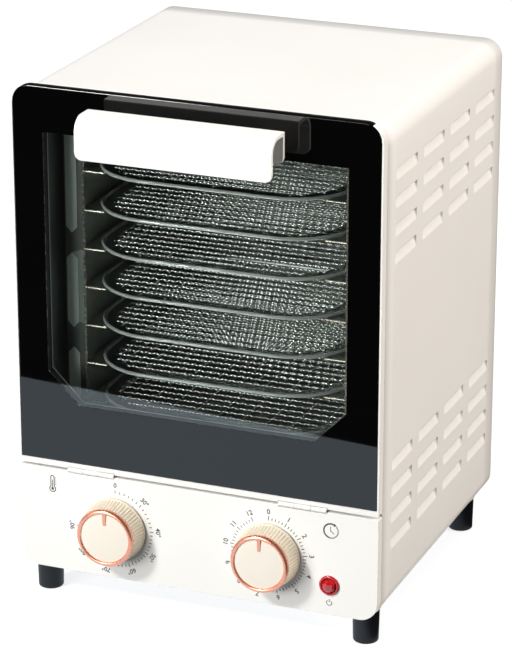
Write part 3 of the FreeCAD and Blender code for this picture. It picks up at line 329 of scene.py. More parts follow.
def solid_grid(bm, rows, closed_u=False, closed_v=False):
    """Quads between rows of points. u runs along a row, v from row to row."""
    verts = [[bm.verts.new(point) for point in row] for row in rows]
    count_v, count_u = len(verts), len(verts[0])
    for v in range(count_v if closed_v else count_v - 1):
        for u in range(count_u if closed_u else count_u - 1):
            a, b = verts[v][u], verts[v][(u + 1) % count_u]
            c, d = verts[(v + 1) % count_v][(u + 1) % count_u], verts[(v + 1) % count_v][u]
            bm.faces.new((a, b, c, d))
    return verts


def capped_grid(bm, rows):
    """A tube of quads through closed rows of points, with both its ends shut."""
    verts = solid_grid(bm, rows, closed_u=True)
    bm.faces.new(list(reversed(verts[0])))
    bm.faces.new(verts[-1])


def mesh_of(curve):
    """The mesh that a curve or a text makes. The curve itself is removed."""
    holder = bpy.data.objects.new(curve.name, curve)
    bpy.context.scene.collection.objects.link(holder)
    bpy.context.view_layer.update()
    depsgraph = bpy.context.evaluated_depsgraph_get()
    mesh = bpy.data.meshes.new_from_object(holder.evaluated_get(depsgraph))
    bpy.data.objects.remove(holder)
    bpy.data.curves.remove(curve)
    return mesh


# --------------------------------------------------------------------------
# Cabinet sheet with pressed louvres
# --------------------------------------------------------------------------
# In mm. A louvre is a shallow pocket, deepest at its upper edge, which is open.
LOUVRE_COLUMNS = [-58.0, -8.0, 42.0, 92.0]
LOUVRE_PITCH, LOUVRE_ROWS = 17.5, 4
LOUVRE_LOWS = [lowest + LOUVRE_PITCH * row for lowest in (59.5, 246.0)
               for row in range(LOUVRE_ROWS)]
LOUVRE_LENGTH, LOUVRE_HEIGHT, LOUVRE_DEPTH, LOUVRE_END = 38.0, 7.5, 3.6, 2.4
LOUVRE_BOW = 0.25
LOUVRE_GUARD = 0.25    # a narrow flat strip that keeps a louvre's shading off the sheet
SHARES_UP = (0.0, 0.08, 0.2, 0.35, 0.5, 0.65, 0.8, 0.92)
SHARES_ALONG = (0, 0.004, 0.012, 0.025, 0.045, 0.07, 0.25, 0.5, 0.75, 0.93, 0.955, 0.975,
                0.988, 0.996, 1)
CORNER, SHEET, FLANGE, CORNER_STEPS = 12.0, 0.8, 26.0, 8
TOUCH = 1e-6


def louvre_depth(y, z):
    """How far the sheet is pressed in at a place on the side, in mm."""
    for low in LOUVRE_LOWS:
        height = (z - low) / LOUVRE_HEIGHT
        if -TOUCH <= height <= 1 + TOUCH:
            for middle in LOUVRE_COLUMNS:
                from_end = LOUVRE_LENGTH / 2 - abs(y - middle)
                if from_end > TOUCH:
                    share = min(from_end / LOUVRE_END, 1.0)
                    end = math.sqrt(1 - (1 - share) ** 2)
                    rise = max(0.0, min(height, 1.0))
                    return LOUVRE_DEPTH * end * (LOUVRE_BOW * rise * rise + (1 - LOUVRE_BOW) * rise)
    return 0.0


def half_section(half, bottom, top):
    """Half the wrapper's outline, from its bottom flange up to the middle of the
    top, as (x, z, is pressed, is open above), in mm."""
    turns = [math.pi / 2 * i / CORNER_STEPS for i in range(1, CORNER_STEPS + 1)]
    section = [(half - FLANGE, bottom, False, False), (half - CORNER, bottom, False, False)]
    section += [(half - CORNER + CORNER * math.sin(turn), bottom + CORNER - CORNER * math.cos(turn),
                 False, False) for turn in turns]
    for low in LOUVRE_LOWS:
        lip = low + LOUVRE_HEIGHT
        section.append((half, low - LOUVRE_GUARD, False, False))
        section += [(half, low + share * LOUVRE_HEIGHT, True, False) for share in SHARES_UP]
        section += [(half, lip, True, True), (half, lip, False, False),
                    (half, lip + LOUVRE_GUARD, False, False)]
    section.append((half, top - CORNER, False, False))
    section += [(half - CORNER + CORNER * math.cos(turn), top - CORNER + CORNER * math.sin(turn),
                 False, False) for turn in turns]
    return section + [(half * 0.5, top, False, False), (0.0, top, False, False)]


def wrapper_sheet():
    """The bent sheet of the top and sides, with its louvres pressed in."""
    low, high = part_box("cabinet_wrapper")
    section = half_section(high.x / MM, low.z / MM, high.z / MM)
    openings = [i for i, point in enumerate(section) if point[3]]
    openings += [2 * len(section) - 3 - i for i in openings]
    section += [(-x, z, pressed, False) for x, z, pressed, _ in reversed(section[:-1])]
    ys = [low.y / MM]
    for middle in LOUVRE_COLUMNS:
        start = middle - LOUVRE_LENGTH / 2
        ys.append(start - LOUVRE_GUARD)
        ys += [start + share * LOUVRE_LENGTH for share in SHARES_ALONG]
        ys.append(start + LOUVRE_LENGTH + LOUVRE_GUARD)
    ys.append(high.y / MM)
    bm = bmesh.new()
    grid = []
    for x, z, pressed, _ in section:
        line = []
        for y in ys:
            depth = louvre_depth(y, z) if pressed else 0.0
            line.append(bm.verts.new(Vector((x - math.copysign(depth, x), y, z)) * MM))
        grid.append(line)
    for i in range(len(section) - 1):
        if i in openings:
            continue
        for j in range(len(ys) - 1):
            bm.faces.new((grid[i][j], grid[i][j + 1], grid[i + 1][j + 1], grid[i + 1][j]))
    obj = link("cabinet_sheet", mesh_from("cabinet_sheet", bm, 1e-6, 28.0))
    thick = obj.modifiers.new("thickness", "SOLIDIFY")
    thick.thickness = SHEET * MM
    thick.offset = -1.0
    thick.use_even_offset = True
    settle(obj, "cabinet", "cream_paint", stands_for=("cabinet_wrapper",))


# --------------------------------------------------------------------------
# Knobs
# --------------------------------------------------------------------------
KNOB_RIBS, RIB_DEPTH, RIB_SHARPNESS = 60, 0.65, 1.6
GRIP_SEGMENTS, RING_SEGMENTS = 480, 160


def revolved(name, centre, profile, segments, ribs=0, rib_depth=0.0):
    """A turned piece round an axis along Y. profile holds (radius, y, share of
    the ribs' depth), in mm, from the back to the front."""
    bm = bmesh.new()
    rows = []
    for radius, y, share in profile:
        row = []
        for k in range(segments):
            turn = 2 * math.pi * k / segments
            groove = (0.5 - 0.5 * math.cos(ribs * turn)) ** RIB_SHARPNESS
            r = max(radius - share * rib_depth * groove, 0.0)
            place = Vector((centre[0] + r * math.sin(turn), y, centre[1] + r * math.cos(turn)))
            row.append(place * MM)
        rows.append(row)
    solid_grid(bm, rows, closed_u=True)
    bmesh.ops.remove_doubles(bm, verts=bm.verts, dist=1e-7)
    bmesh.ops.recalc_face_normals(bm, faces=bm.faces)
    return link(name, mesh_from(name, bm, 0, 40.0))


def rounded_ring(outer, inner, front, back, soft):
    """The closed profile of a hoop with a rounded front, as (radius, y, 0)."""
    inner_soft, inner_steps, outer_steps, chamfer = soft * 0.6, 4, 8, 0.3
    points = [(inner, back), (inner, front + inner_soft)]
    for i in range(1, inner_steps + 1):
        turn = math.pi / 2 * i / inner_steps
        points.append((inner + soft * 0.5 * (1 - math.cos(turn)),
                       front + inner_soft * (1 - math.sin(turn))))
    for i in range(outer_steps + 1):
        turn = math.pi / 2 * i / outer_steps
        points.append((outer - soft + soft * math.sin(turn), front + soft - soft * math.cos(turn)))
    points += [(outer, back - chamfer), (outer - chamfer, back), (inner, back)]
    return [(radius, y, 0) for radius, y in points]


def knob(prefix, body):
    """A flanged knob: ribbed grip, plain cap, copper hoop and pointer."""
    low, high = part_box(f"{prefix}_knob")
    trim_low, trim_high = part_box(f"{prefix}_knob_trim")
    cx, cz = dial_centre(prefix)
    back, skirt = high.y / MM, (high.x - low.x) / 2 / MM
    ring_front, ring_back = trim_low.y / MM, trim_high.y / MM
    ring = (trim_high.x - trim_low.x) / 2 / MM
    hoop_width, flare = 2.9, skirt - 0.5
    profile = [
        # the flange at the panel
        (0.0, back, 0), (skirt - 2.5, back, 0), (skirt - 0.2, back, 0), (skirt, back - 0.25, 0),
        (skirt, back - 1.0, 0), (skirt - 0.35, back - 1.4, 0),
        # the grip, ribbed from the flange to the hoop
        (flare + 0.05, back - 1.5, 0), (flare + 0.05, back - 1.9, 0.6), (flare, back - 2.4, 1),
        ((flare + ring) / 2, (back + ring_back) / 2, 1), (ring + 0.05, ring_back + 0.6, 1),
        (ring - 0.1, ring_back + 0.1, 0.8),
        # behind the hoop, and the slightly crowned cap inside it
        (ring - 1.6, ring_back, 0), (ring - 2.6, ring_back - 0.4, 0),
        (ring - hoop_width, ring_front + 1.2, 0), (14.0, ring_front + 0.95, 0),
        (9.0, ring_front + 0.82, 0), (4.0, ring_front + 0.75, 0), (0.0, ring_front + 0.74, 0),
    ]
    obj = revolved(f"{prefix}_knob_grip", (cx, cz), profile, GRIP_SEGMENTS, KNOB_RIBS, RIB_DEPTH)
    settle(obj, body, "cream_plastic", stands_for=(f"{prefix}_knob",))
    # The grip's side and flange take the darker cream: painted shade where the side turns away from
    # the light.
    obj.data.materials.append(MATERIALS["grip_cream_painted_shade"])
    for polygon in obj.data.polygons:
        away = math.hypot(polygon.center.x / MM - cx, polygon.center.z / MM - cz)
        if away > ring - 1.2:
            polygon.material_index = 1
    hoop = rounded_ring(ring, ring - hoop_width, ring_front, ring_back, 1.9)
    obj = revolved(f"{prefix}_knob_ring", (cx, cz), hoop, RING_SEGMENTS)
    settle(obj, body, "copper_trim", stands_for=(f"{prefix}_knob_trim",))
    knob_pointer(prefix, body, (cx, cz), ring - 2.4, ring_front)


def knob_pointer(prefix, body, centre, outer, ring_front):
    """The tapered copper bar from the hoop towards the middle of the cap."""
    cx, cz = centre
    inner, wide, narrow = outer - 8.0, 1.35, 0.95
    outline = [(-wide, outer), (wide, outer), (narrow, inner), (-narrow, inner)]
    bm = bmesh.new()
    for y in ((ring_front + 1.0) * MM, (ring_front + 0.35) * MM):
        bm.faces.new([bm.verts.new((cx * MM + x * MM, y, cz * MM + z * MM)) for x, z in outline])
    bm.verts.ensure_lookup_table()
    for i in range(4):
        j = (i + 1) % 4
        bm.faces.new((bm.verts[i], bm.verts[j], bm.verts[4 + j], bm.verts[4 + i]))
    bmesh.ops.recalc_face_normals(bm, faces=bm.faces)
    pointer = link(f"{prefix}_knob_pointer", mesh_from(f"{prefix}_pointer", bm))
    settle(bevelled(pointer, 0.18), body, "copper_trim")


# --------------------------------------------------------------------------
# Printed marks on the panel
# --------------------------------------------------------------------------
TICK_WIDTH = 0.5
# The angle of each printed number, in degrees clockwise from the top.
TEMPERATURES = [(1, "0"), (44, "30°"), (86, "40°"), (122, "50°"), (158, "60°"), (193, "70°"),
                (230, "80°"), (266, "90°")]
HOURS, HOUR_PITCH = 12, 27.8


class Print:
    """Collects flat ink shapes on the panel's face, in mm (x right, z up)."""

    thick, gap, bolder = 0.04, 0.004, 0.07

    def __init__(self):
        self.bm = bmesh.new()
        self.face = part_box("control_panel")[0].y

    def shape(self, points):
        front = self.face - self.thick * MM
        top = [self.bm.verts.new((x * MM, front, z * MM)) for x, z in points]
        back = self.face - self.gap * MM
        base = [self.bm.verts.new((x * MM, back, z * MM)) for x, z in points]
        self.bm.faces.new(top)
        self.bm.faces.new(list(reversed(base)))
        for i in range(len(points)):
            j = (i + 1) % len(points)
            self.bm.faces.new((top[j], top[i], base[i], base[j]))

    def stroke(self, path, width, closed=False):
        """A line of the given width along a path, as one shape for each step."""
        count = len(path)
        left, right = [], []
        for i, (x, z) in enumerate(path):
            before = path[i - 1] if i or closed else path[i]
            after = path[(i + 1) % count] if i < count - 1 or closed else path[i]
            dx, dz = after[0] - before[0], after[1] - before[1]
            length = math.hypot(dx, dz)
            nx, nz = -dz / length * width / 2, dx / length * width / 2
            left.append((x + nx, z + nz))
            right.append((x - nx, z - nz))
        for i in range(count if closed else count - 1):
            j = (i + 1) % count
            self.shape([right[i], right[j], left[j], left[i]])

    def dot(self, x, z, radius, sides=14):
        turns = [2 * math.pi * k / sides for k in range(sides)]
        self.shape([(x + radius * math.cos(t), z + radius * math.sin(t)) for t in turns])

    def tick(self, centre, angle, inner, outer):
        """A scale mark between two radii, at angle clockwise from the top."""
        s, c = math.sin(math.radians(angle)), math.cos(math.radians(angle))
        x, z = centre
        self.stroke([(x + inner * s, z + inner * c), (x + outer * s, z + outer * c)], TICK_WIDTH)

    def text(self, words, centre, angle, radius, size):
        """Digits that stand on a circle, turned clockwise by angle from the top."""
        curve = bpy.data.curves.new("digits", "FONT")
        curve.body = words
        curve.size = size * MM
        curve.align_x = "CENTER"
        curve.align_y = "CENTER"
        curve.extrude = self.thick / 2 * MM
        curve.offset = self.bolder * MM
        curve.resolution_u = 4
        mesh = mesh_of(curve)
        turn = math.radians(angle)
        x = (centre[0] + radius * math.sin(turn)) * MM
        z = (centre[1] + radius * math.cos(turn)) * MM
        place = Matrix.Translation((x, self.face - self.thick / 2 * MM, z))
        place = place @ Matrix.Rotation(turn, 4, "Y") @ Matrix.Rotation(math.pi / 2, 4, "X")
        mesh.transform(place)
        self.bm.from_mesh(mesh)
        bpy.data.meshes.remove(mesh)

    def done(self, name):
        obj = link(name, mesh_from(name, self.bm, 0, 30.0))
        obj.data.materials.append(MATERIALS["print_ink"])
        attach(obj, "cabinet")


def arc(cx, cz, radius, start, end, steps=24):
    """Points on an arc, from start to end in degrees anticlockwise from the right."""
    points = []
    for i in range(steps + 1):
        turn = math.radians(start + (end - start) * i / steps)
        points.append((cx + radius * math.cos(turn), cz + radius * math.sin(turn)))
    return points


def dial_centre(prefix):
    """Where a dial's axis meets the panel, as (x, z) in mm."""
    low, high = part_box(f"{prefix}_knob_trim")
    return (low.x + high.x) / 2 / MM, (low.z + high.z) / 2 / MM


def temperature_scale():
    ink, centre = Print(), dial_centre("temp")
    for index, (angle, words) in enumerate(TEMPERATURES):
        ink.tick(centre, angle, 24.2, 26.6)
        ink.text(words, centre, angle, 29.7, 4.4)
        if index:
            start = TEMPERATURES[index - 1][0]
            for k in range(1, 6):
                ink.tick(centre, start + (angle - start) * k / 6, 24.3, 26.0)
    ink.done("temperature_scale")


def timer_scale():
    ink, centre = Print(), dial_centre("timer")
    for hour in range(HOURS + 1):
        ink.tick(centre, hour * HOUR_PITCH, 23.0, 26.0)
        ink.text(str(hour), centre, hour * HOUR_PITCH, 28.8, 4.6)
        if hour < HOURS:
            for k in range(1, 5):
                ink.tick(centre, (hour + k / 5) * HOUR_PITCH, 23.2, 25.0)
    ink.done("timer_scale")


def clock_mark():
    """A clock face: an arrow round its left half, dots round the rest, two hands."""
    ink = Print()
    x, z, radius = 90.3, 76.8, 4.7
    tip_angle, dots, dot_start, dot_pitch = 58, 9, 34, 15.5
    ink.stroke(arc(x, z, radius, tip_angle, 262), 0.95)
    tip = math.radians(tip_angle)
    tip_x, tip_z = x + radius * math.cos(tip), z + radius * math.sin(tip)
    ink.shape([(tip_x - 0.2, tip_z + 1.25), (tip_x - 0.9, tip_z - 0.7),
               (tip_x + 1.35, tip_z - 0.55)])
    for k in range(dots):
        turn = math.radians(dot_start - k * dot_pitch)
        ink.dot(x + radius * math.cos(turn), z + radius * math.sin(turn), 0.5)
    ink.stroke([(x - 0.3, z + 2.9), (x - 0.3, z - 0.1)], 0.5)
    ink.stroke([(x - 0.45, z), (x + 2.2, z - 1.9)], 0.5)
    ink.done("timer_mark")


def thermometer_mark():
    """A thermometer: its outline, the filled bulb and stem, and four graduations."""
    ink = Print()
    x, z = -98.6, 78.2
    bulb, neck = 2.05, 1.15
    bulb_z, top_z = z - 3.4, z + 4.4
    start = math.degrees(math.acos(neck / bulb))
    outline = arc(x, bulb_z, bulb, 180 - start, 360 + start)
    outline += arc(x, top_z, neck, 0, 180, 12)
    ink.stroke(outline, 0.6, closed=True)
    ink.dot(x, bulb_z, 0.95)
    ink.stroke([(x, z - 3.2), (x, z + 2.6)], 0.5)
    for k in range(4):
        level = z + 4.2 - k * 1.5
        ink.stroke([(x + 1.6, level), (x + 2.7, level)], 0.36)
    ink.done("temperature_mark")


def power_mark():
    """A broken ring with a bar, under the lamp."""
    ink = Print()
    low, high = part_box("lamp_lens")
    x, z = (low.x + high.x) / 2 / MM, low.z / MM - 5.2
    width = 0.48
    ink.stroke(arc(x, z, 1.75, 125, 415), width)
    ink.stroke([(x, z + 2.3), (x, z + 0.3)], width)
    ink.done("power_mark")


# --------------------------------------------------------------------------
# Door
# --------------------------------------------------------------------------
# In metres. The clear window is a rectangle with its two lower corners cut off,
# and BESIDE is the strip round it that still counts as its edge.
GLASS_RADIUS = 11 * MM
WINDOW_EDGE, WINDOW_CUT, WINDOW_SILL, WINDOW_HEAD = 99.5 * MM, 21 * MM, 134 * MM, 310.5 * MM
BESIDE = 1.5 * MM


def plate(name, loop, front, back, hole=None):
    """An upright plate from an outline in (x, z) metres, with an optional hole."""
    curve = bpy.data.curves.new(name, "CURVE")
    curve.dimensions = "2D"
    curve.fill_mode = "BOTH"
    for points in filter(None, (loop, hole)):
        spline = curve.splines.new("POLY")
        spline.points.add(len(points) - 1)
        for item, (x, z) in zip(spline.points, points):
            item.co = (x, z, 0, 1)
        spline.use_cyclic_u = True
    curve.extrude = (back - front) / 2
    mesh = mesh_of(curve)
    mesh.transform(Matrix.Translation((0, (front + back) / 2, 0))
                   @ Matrix.Rotation(math.pi / 2, 4, "X"))
    bm = bmesh.new()
    bm.from_mesh(mesh)
    bpy.data.meshes.remove(mesh)
    bmesh.ops.remove_doubles(bm, verts=bm.verts, dist=1e-6)
    bmesh.ops.dissolve_limit(bm, angle_limit=math.radians(0.3), verts=bm.verts, edges=bm.edges)
    bmesh.ops.recalc_face_normals(bm, faces=bm.faces)
    return link(name, mesh_from(name, bm, 0, 30.0))


def rounded_top(left, right, low, high, radius, steps=12):
    """The outline of a rectangle whose two upper corners are rounded."""
    points = [(left, low), (right, low)]
    for cx, start in ((right - radius, 0), (left + radius, 90)):
        for i in range(steps + 1):
            turn = math.radians(start + 90 * i / steps)
            points.append((cx + radius * math.cos(turn), high - radius + radius * math.sin(turn)))
    return points


def door_corners(pane):
    """The frame's painted side walls, carried on round the glass's top corners
    and tapering off towards the top."""
    low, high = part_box("door_frame")
    radius, end, steps = GLASS_RADIUS, 62, 14
    near_radius = radius + 0.04 * MM
    front, back = low.y + 0.05 * MM, low.y + 5.7 * MM
    pane_edge = max(x for x, _ in pane)
    pane_top = max(z for _, z in pane)
    for name, side in (("left", -1), ("right", 1)):
        bm = bmesh.new()
        rows = []
        for i in range(steps + 1):
            turn = math.radians(end * i / steps)
            c, s = math.cos(turn), math.sin(turn)
            far_x, far_z = high.x - radius + radius * c, high.z - radius + radius * s
            near_x = pane_edge - radius + near_radius * c
            near_z = pane_top - radius + near_radius * s
            rows.append([Vector((side * x, y, z)) for x, y, z in (
                (far_x, front, far_z), (far_x, back, far_z),
                (near_x, back, near_z), (near_x, front, near_z))])
        capped_grid(bm, rows)
        bmesh.ops.recalc_face_normals(bm, faces=bm.faces)
        obj = link(f"door_corner_{name}", mesh_from(f"door_corner_{name}", bm, 0, 30.0))
        settle(obj, "door", "cream_paint")


def is_outer(point):
    """Whether a point of the glass is well outside the clear window."""
    return (abs(point.x) > WINDOW_EDGE + BESIDE or point.z > WINDOW_HEAD + BESIDE
            or point.z < WINDOW_SILL - BESIDE)


def soften_outside(border):
    """Rounds the glass's outer edges only, and leaves the printed edge round the
    window plain."""
    for polygon in border.data.polygons:
        if abs(polygon.normal.y) < 0.5 and not is_outer(polygon.center):
            polygon.material_index = 1
    bm = bmesh.new()
    bm.from_mesh(border.data)
    weights = []
    for edge in bm.edges:
        sharp = len(edge.link_faces) == 2 and edge.calc_face_angle() > 1.0
        weights.append(1.0 if sharp and all(is_outer(vert.co) for vert in edge.verts) else 0.0)
    bm.free()
    layer = border.data.attributes.new("bevel_weight_edge", "FLOAT", "EDGE")
    layer.data.foreach_set("value", weights)
    bevelled(border, 0.45, 3).modifiers["edges"].limit_method = "WEIGHT"


def door_pane():
    """The pane: a border that is black behind the glass, and the clear window."""
    low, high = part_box("door_glass")
    outer = rounded_top(low.x, high.x, low.z, high.z, GLASS_RADIUS)
    edge, cut, sill, head = WINDOW_EDGE, WINDOW_CUT, WINDOW_SILL, WINDOW_HEAD
    window = [(-edge + cut, sill), (edge - cut, sill), (edge, sill + cut), (edge, head),
              (-edge, head), (-edge, sill + cut)]
    border = plate("door_glass_border", outer, low.y, high.y, window)
    settle(border, "door", "dark_glass", "black_glass", ("door_glass",))
    border.data.materials.append(MATERIALS["print_ink"])
    soften_outside(border)
    door_corners(outer)
    shrink = 0.02 * MM
    inside = [(x - math.copysign(shrink, x), z) for x, z in window]
    clear = plate("door_glass_window", inside, low.y + 0.03 * MM, low.y + 0.5 * MM)
    settle(clear, "door", "dark_glass")


# --------------------------------------------------------------------------
# Trays
# --------------------------------------------------------------------------
# In mm. The wires go a little way into the tray's solid border.
TRAYS = range(1, 8)
TRAY_RADIUS, BORDER, OVERLAP = 42.0, 10.0, 1.5
BEAD, BEAD_STEPS = 1.1, 12
WAVE, WAVE_SIDE, WAVE_LIFT, WIRE = 5.5, 0.55, 0.42, 0.6
ROW_PITCH, CROSS_PITCH, CROSS_SHIFT, CROSS_LIFT, CROSS_WIRE = 8.6, 16.5, 2.0, 0.25, 0.26


def tray_path(low, high, inset, steps=16):
    """Points round a tray, in mm, with the same count at every inset."""
    points = []
    r = TRAY_RADIUS
    left, right, front, back = low.x / MM + r, high.x / MM - r, low.y / MM + r, high.y / MM - r
    for cx, cy, start in ((right, back, 0), (left, back, 90), (left, front, 180),
                          (right, front, 270)):
        for i in range(steps + 1):
            turn = math.radians(start + 90 * i / steps)
            points.append((cx + (r - inset) * math.cos(turn), cy + (r - inset) * math.sin(turn)))
    return points


def tray_frame(index):
    """A tray's flat border, rolled up into a bead at its edge."""
    low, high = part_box(f"tray_{index}_frame")
    # (inset, height): under the border, round the bead, and back over the border
    section = [(BORDER, 0.55), (BORDER - 0.3, 0.2), (4.0, 0.15), (2.2, 0.05)]
    bead_start = len(section) - 1
    for i in range(BEAD_STEPS + 1):
        turn = math.radians(300 - 285 * i / BEAD_STEPS)
        section.append((BEAD * (1 - math.cos(turn)), BEAD * (1 + math.sin(turn))))
    bead_end = len(section) - 1
    section += [(2.6, 1.0), (4.0, 0.85), (BORDER - 1.0, 0.95), (BORDER, 1.15)]
    bm = bmesh.new()
    rows = [[Vector((x, y, low.z / MM + height)) * MM for x, y in tray_path(low, high, inset)]
            for inset, height in section]
    solid_grid(bm, rows, closed_u=True, closed_v=True)
    bmesh.ops.recalc_face_normals(bm, faces=bm.faces)
    obj = link(f"tray_{index}_rim", mesh_from(f"tray_{index}_rim", bm, 0, 50.0))
    # The flat border takes the darker steel: a painted dark reflection.
    settle(obj, f"tray_{index}", "tray_steel", "border_steel_painted_reflection", (f"tray_{index}_frame",))
    # The bead round the edge takes the near-white steel: a painted highlight.
    obj.data.materials.append(MATERIALS["rim_steel_painted_highlight"])
    for polygon in obj.data.polygons:
        if bead_start <= polygon.index // len(rows[0]) <= bead_end:
            polygon.material_index = 1


def half_width_at(low, high, y, inset):
    """Half the tray's width, in mm, at a given y."""
    r = TRAY_RADIUS - inset
    edge = high.x / MM - inset
    for middle, outside in ((low.y / MM + TRAY_RADIUS, -1), (high.y / MM - TRAY_RADIUS, 1)):
        over = (y - middle) * outside
        if over > 0:
            return edge - r + math.sqrt(max(r * r - over * over, 0.0))
    return edge


def tube(bm, path, radius, sides):
    """A wire along a path, in mm."""
    rows = []
    for i, point in enumerate(path):
        ahead = path[min(i + 1, len(path) - 1)] - path[max(i - 1, 0)]
        along = ahead.normalized()
        side = along.cross(Vector((0, 0, 1))).normalized()
        up = side.cross(along).normalized()
        turns = [2 * math.pi * k / sides for k in range(sides)]
        rows.append([(point + side * radius * math.cos(turn) + up * radius * math.sin(turn)) * MM
                     for turn in turns])
    capped_grid(bm, rows)


def crimped_wires(bm, low, high, middle, level):
    """The thick waved wires that run across the tray."""
    front, back = low.y / MM + BORDER - OVERLAP, high.y / MM - BORDER + OVERLAP
    rows = int((high.y - low.y) / MM / 2 / ROW_PITCH)
    for index in range(-rows, rows + 1):
        y = middle + index * ROW_PITCH
        if not front < y < back:
            continue
        reach = half_width_at(low, high, y, BORDER - OVERLAP)
        count = int(2 * reach / WAVE * 4)
        path = []
        for i in range(count + 1):
            x = -reach + 2 * reach * i / count
            phase = 2 * math.pi * x / WAVE + (math.pi if index % 2 else 0)
            path.append(Vector((x, y + WAVE_SIDE * math.cos(phase),
                                level + WAVE_LIFT * math.sin(phase))))
        tube(bm, path, WIRE, 6)


def cross_wires(bm, high, middle, level):
    """The thin wires that run from front to back, over and under the others."""
    columns = int(high.x / MM / CROSS_PITCH)
    for index in range(-columns, columns + 1):
        x = index * CROSS_PITCH + CROSS_SHIFT
        reach = high.y / MM - middle - BORDER + OVERLAP
        over = abs(x) - (high.x / MM - TRAY_RADIUS)
        if over > 0:
            radius = TRAY_RADIUS - BORDER + OVERLAP
            if over >= radius:
                continue
            reach = (high.y / MM - middle - TRAY_RADIUS) + math.sqrt(radius * radius - over * over)
        count = int(2 * reach / ROW_PITCH * 2)
        path = []
        for i in range(count + 1):
            y = middle - reach + 2 * reach * i / count
            lift = CROSS_LIFT * math.cos(2 * math.pi * (y - middle) / (2 * ROW_PITCH))
            path.append(Vector((x, y, level - 0.1 + lift)))
        tube(bm, path, CROSS_WIRE, 5)


def wire_mesh_data():
    """The woven mesh of a tray, made once for the lowest tray, and its level."""
    low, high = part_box("tray_1_frame")
    level = low.z / MM + 1.0
    middle = (low.y + high.y) / 2 / MM
    bm = bmesh.new()
    crimped_wires(bm, low, high, middle, level)
    cross_wires(bm, high, middle, level)
    return mesh_from("crimped_mesh", bm, 0, 60.0), low.z


def trays():
    mesh, first_level = wire_mesh_data()
    for index in TRAYS:
        tray_frame(index)
        data = mesh
        if index > TRAYS[0]:
            data = mesh.copy()
            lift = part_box(f"tray_{index}_frame")[0].z - first_level
            data.transform(Matrix.Translation((0, 0, lift)))
        obj = link(f"tray_{index}_wires", data)
        settle(obj, f"tray_{index}", "tray_steel", stands_for=(f"tray_{index}_mesh",))


# --------------------------------------------------------------------------
# Racks
# --------------------------------------------------------------------------
# In mm from the middle: the rack's flange starts at UPRIGHT, and its front edges
# are rolled on the upright and along each ledge.
UPRIGHT, UPRIGHT_ROLL, LEDGE_ROLL = 87.0, 87.7, (73.6, 87.4)
ROLL_BACK, UPRIGHT_RADIUS, LEDGE_RADIUS, LEDGE_DROP = 0.7, 0.9, 0.75, 0.8


def rod(bm, start, end, radius, sides=20):
    """A straight rod between two points, in mm."""
    along = (end - start).normalized()
    side = along.orthogonal().normalized()
    up = along.cross(side)
    rows = []
    for point in (start, (start + end) / 2, end):
        turns = [2 * math.pi * k / sides for k in range(sides)]
        rows.append([(point + side * radius * math.cos(turn) + up * radius * math.sin(turn)) * MM
                     for turn in turns])
    capped_grid(bm, rows)


def pressed_panels(name):
    """Gives the raised faces of a rack's front flange a paler steel, painted light, and the faces
    behind them a darker steel, painted shade, and rolls the front edges of its upright and its
    ledges."""
    piece = bpy.data.objects[f"{name}_finished"]
    low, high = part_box(name)
    side = -1 if low.x < 0 else 1
    piece.data.materials.append(MATERIALS["panel_steel_painted_light"])
    piece.data.materials.append(MATERIALS["chamber_steel_painted_shade"])
    # Raised front faces get painted light, the faces behind them painted shade.
    for polygon in piece.data.polygons:
        if polygon.normal.y < -0.9 and abs(polygon.center.x) > UPRIGHT * MM:
            polygon.material_index = 1 if polygon.center.y < low.y + 0.3 * MM else 2
    bm = bmesh.new()
    front = low.y / MM + ROLL_BACK
    rod(bm, Vector((side * UPRIGHT_ROLL, front, low.z / MM + 1)),
        Vector((side * UPRIGHT_ROLL, front, high.z / MM - 1)), UPRIGHT_RADIUS)
    for index in TRAYS:
        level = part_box(f"tray_{index}_frame")[0].z / MM - LEDGE_DROP
        inner, outer = [Vector((side * x, front, level)) for x in LEDGE_ROLL]
        rod(bm, inner, outer, LEDGE_RADIUS)
    bmesh.ops.recalc_face_normals(bm, faces=bm.faces)
    obj = link(f"{name}_rolled_edges", mesh_from(f"{name}_rolled_edges", bm, 0, 40.0))
    settle(obj, "cabinet", "stainless", "rolled_steel")


# --------------------------------------------------------------------------
# Lamp
# --------------------------------------------------------------------------
BEZEL_WIDTH, FACETS = 1.9, 12


def lamp_bezel(centre, radius, face):
    inner = radius - BEZEL_WIDTH
    rim = [(inner, face + 0.2), (radius, face), (radius, face - 0.7), (radius - 0.25, face - 1.2),
           (radius - 0.7, face - 1.5), (radius - 1.3, face - 1.45), (radius - 1.75, face - 1.0),
           (inner, face - 0.4), (inner, face + 0.2)]
    obj = revolved("lamp_bezel", centre, [(r, y, 0) for r, y in rim], 96)
    settle(obj, "cabinet", "lamp_red")


